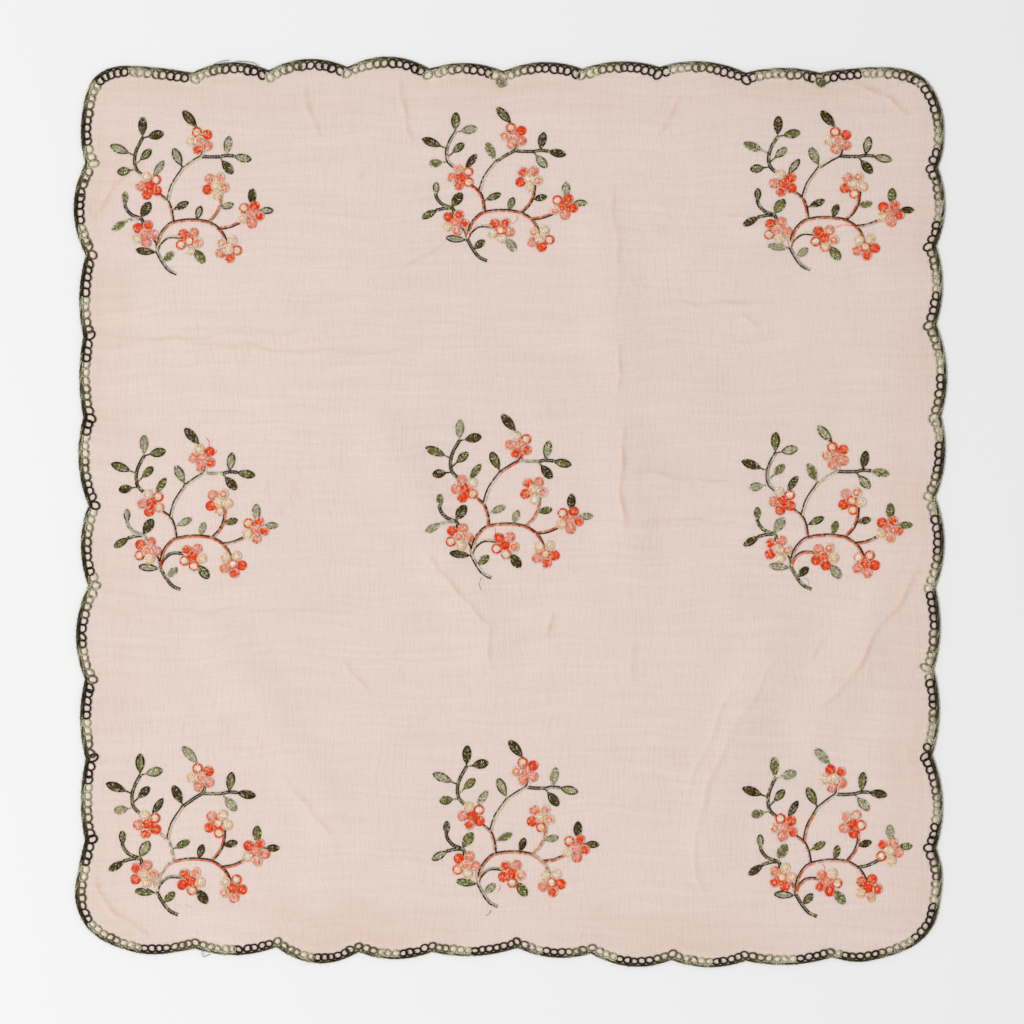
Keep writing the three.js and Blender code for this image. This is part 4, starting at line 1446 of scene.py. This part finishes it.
class BANDANA_OT_sprigs(bpy.types.Operator):
    """Embroider the nine sprigs in chain and satin stitch"""

    bl_idname = "bandana.sprigs"
    bl_label = "Sprigs"

    def execute(self, context):
        material = thread_material("Embroidery thread", 0.62, 0.55)
        for k, sprig in enumerate(SPRIGS):
            stitches = Stitches(np.random.default_rng(SEED + 100 + k), self.placing(sprig))
            for stem, letters in zip(STEMS.values(), sprig["stems"].split(), strict=True):
                stem_rows(stitches, stem, letters)
            for leaf, letter in zip(LEAVES, sprig["leaves"], strict=True):
                leaf_rows(stitches, leaf, letter)
            for blossom, word in zip(BLOSSOMS.values(), sprig["petals"].split(), strict=True):
                blossom_rows(stitches, blossom, word)
            for stray in STRAYS:
                if stray["node"] == sprig["node"]:
                    stitches.stray(stray["through"], stray["thread"])
            name = sprig["node"].replace("sprig", "stitches")
            thread_piece(name, stitches.parts(), material, sprig["node"])
        return {"FINISHED"}

    def placing(self, sprig):
        """A function that takes points measured from a sprig's fork to their place on the cloth."""
        angle = math.radians(sprig["turn"])
        cos, sin = math.cos(angle), math.sin(angle)

        def place(points):
            x, y = points[..., 0] * sprig["across"], points[..., 1] * sprig["up"]
            across = sprig["fork"][0] + x * cos - y * sin
            up = sprig["fork"][1] + x * sin + y * cos
            return np.stack([across, up], axis=-1)

        return place


class BANDANA_OT_stage(bpy.types.Operator):
    """Set the pale surface, the soft light and the camera straight above"""

    bl_idname = "bandana.stage"
    bl_label = "Stage"

    def execute(self, context):
        stage = settings("stage")
        self.floor(stage)
        self.light()
        self.camera(stage)
        context.scene.view_settings.view_transform = "Standard"
        return {"FINISHED"}

    def floor(self, stage):
        mesh = bpy.data.meshes.new("floor")
        corners = [(-6, -6, 0), (6, -6, 0), (6, 6, 0), (-6, 6, 0)]
        mesh.from_pydata(corners, [], [(0, 1, 2, 3)])
        material, _, principled = shader("Pale surface")
        principled.inputs["Base Color"].default_value = (*stage.floor_colour, 1)
        principled.inputs["Roughness"].default_value = 0.95
        principled.inputs["Specular IOR Level"].default_value = 0.0
        mesh.materials.append(material)
        add_object("floor", mesh)

    def light(self):
        world = bpy.data.worlds.new("Soft studio")
        world.use_nodes = True
        background = world.node_tree.nodes["Background"]
        background.inputs["Color"].default_value = (1, 1, 1, 1)
        background.inputs["Strength"].default_value = 0.57
        bpy.context.scene.world = world
        lamp = bpy.data.lights.new("window", "AREA")
        lamp.energy = 117
        lamp.size = 1.2
        window = add_object("window", lamp)
        window.location = (-2.8, -0.75, 3.5)
        towards = -np.array(window.location)
        window.rotation_euler = (
            math.atan2(math.hypot(towards[0], towards[1]), -towards[2]),
            0,
            math.atan2(towards[1], towards[0]) - math.pi / 2,
        )

    def camera(self, stage):
        lens = bpy.data.cameras.new("above")
        lens.sensor_width = 36
        lens.lens = lens.sensor_width * stage.camera_height / stage.view_width
        lens.clip_end = 20
        camera = add_object("above", lens)
        camera.location = (stage.view_shift, 0, stage.camera_height)
        bpy.context.scene.camera = camera


class BANDANA_PT_panel(bpy.types.Panel):
    """Sizes, colours and steps of the bandana"""

    bl_idname = "BANDANA_PT_panel"
    bl_label = "Bandana"
    bl_space_type = "VIEW_3D"
    bl_region_type = "UI"
    bl_category = "Bandana"

    def draw(self, context):
        layout = self.layout
        for name, group in GROUPS.items():
            box = layout.box()
            box.label(text=name.capitalize())
            for field in group.__annotations__:
                box.prop(getattr(context.scene, "bandana_" + name), field)
        for step in STEPS:
            layout.operator(step.bl_idname)


GROUPS = {"cloth": ClothSettings, "edge": EdgeSettings, "stitch": StitchSettings, "stage": StageSettings}
STEPS = [BANDANA_OT_stage, BANDANA_OT_cloth, BANDANA_OT_cord, BANDANA_OT_loops, BANDANA_OT_sprigs]
CLASSES = [*GROUPS.values(), *STEPS, BANDANA_PT_panel]


def register():
    for cls in CLASSES:
        bpy.utils.register_class(cls)
    for name, group in GROUPS.items():
        setattr(bpy.types.Scene, "bandana_" + name, bpy.props.PointerProperty(type=group))


def unregister():
    for name in GROUPS:
        delattr(bpy.types.Scene, "bandana_" + name)
    for cls in reversed(CLASSES):
        bpy.utils.unregister_class(cls)


def main():
    register()
    bpy.ops.bandana.stage()
    bpy.ops.bandana.cloth()
    bpy.ops.bandana.cord()
    bpy.ops.bandana.loops()
    bpy.ops.bandana.sprigs()


if __name__ == "__main__":
    main()
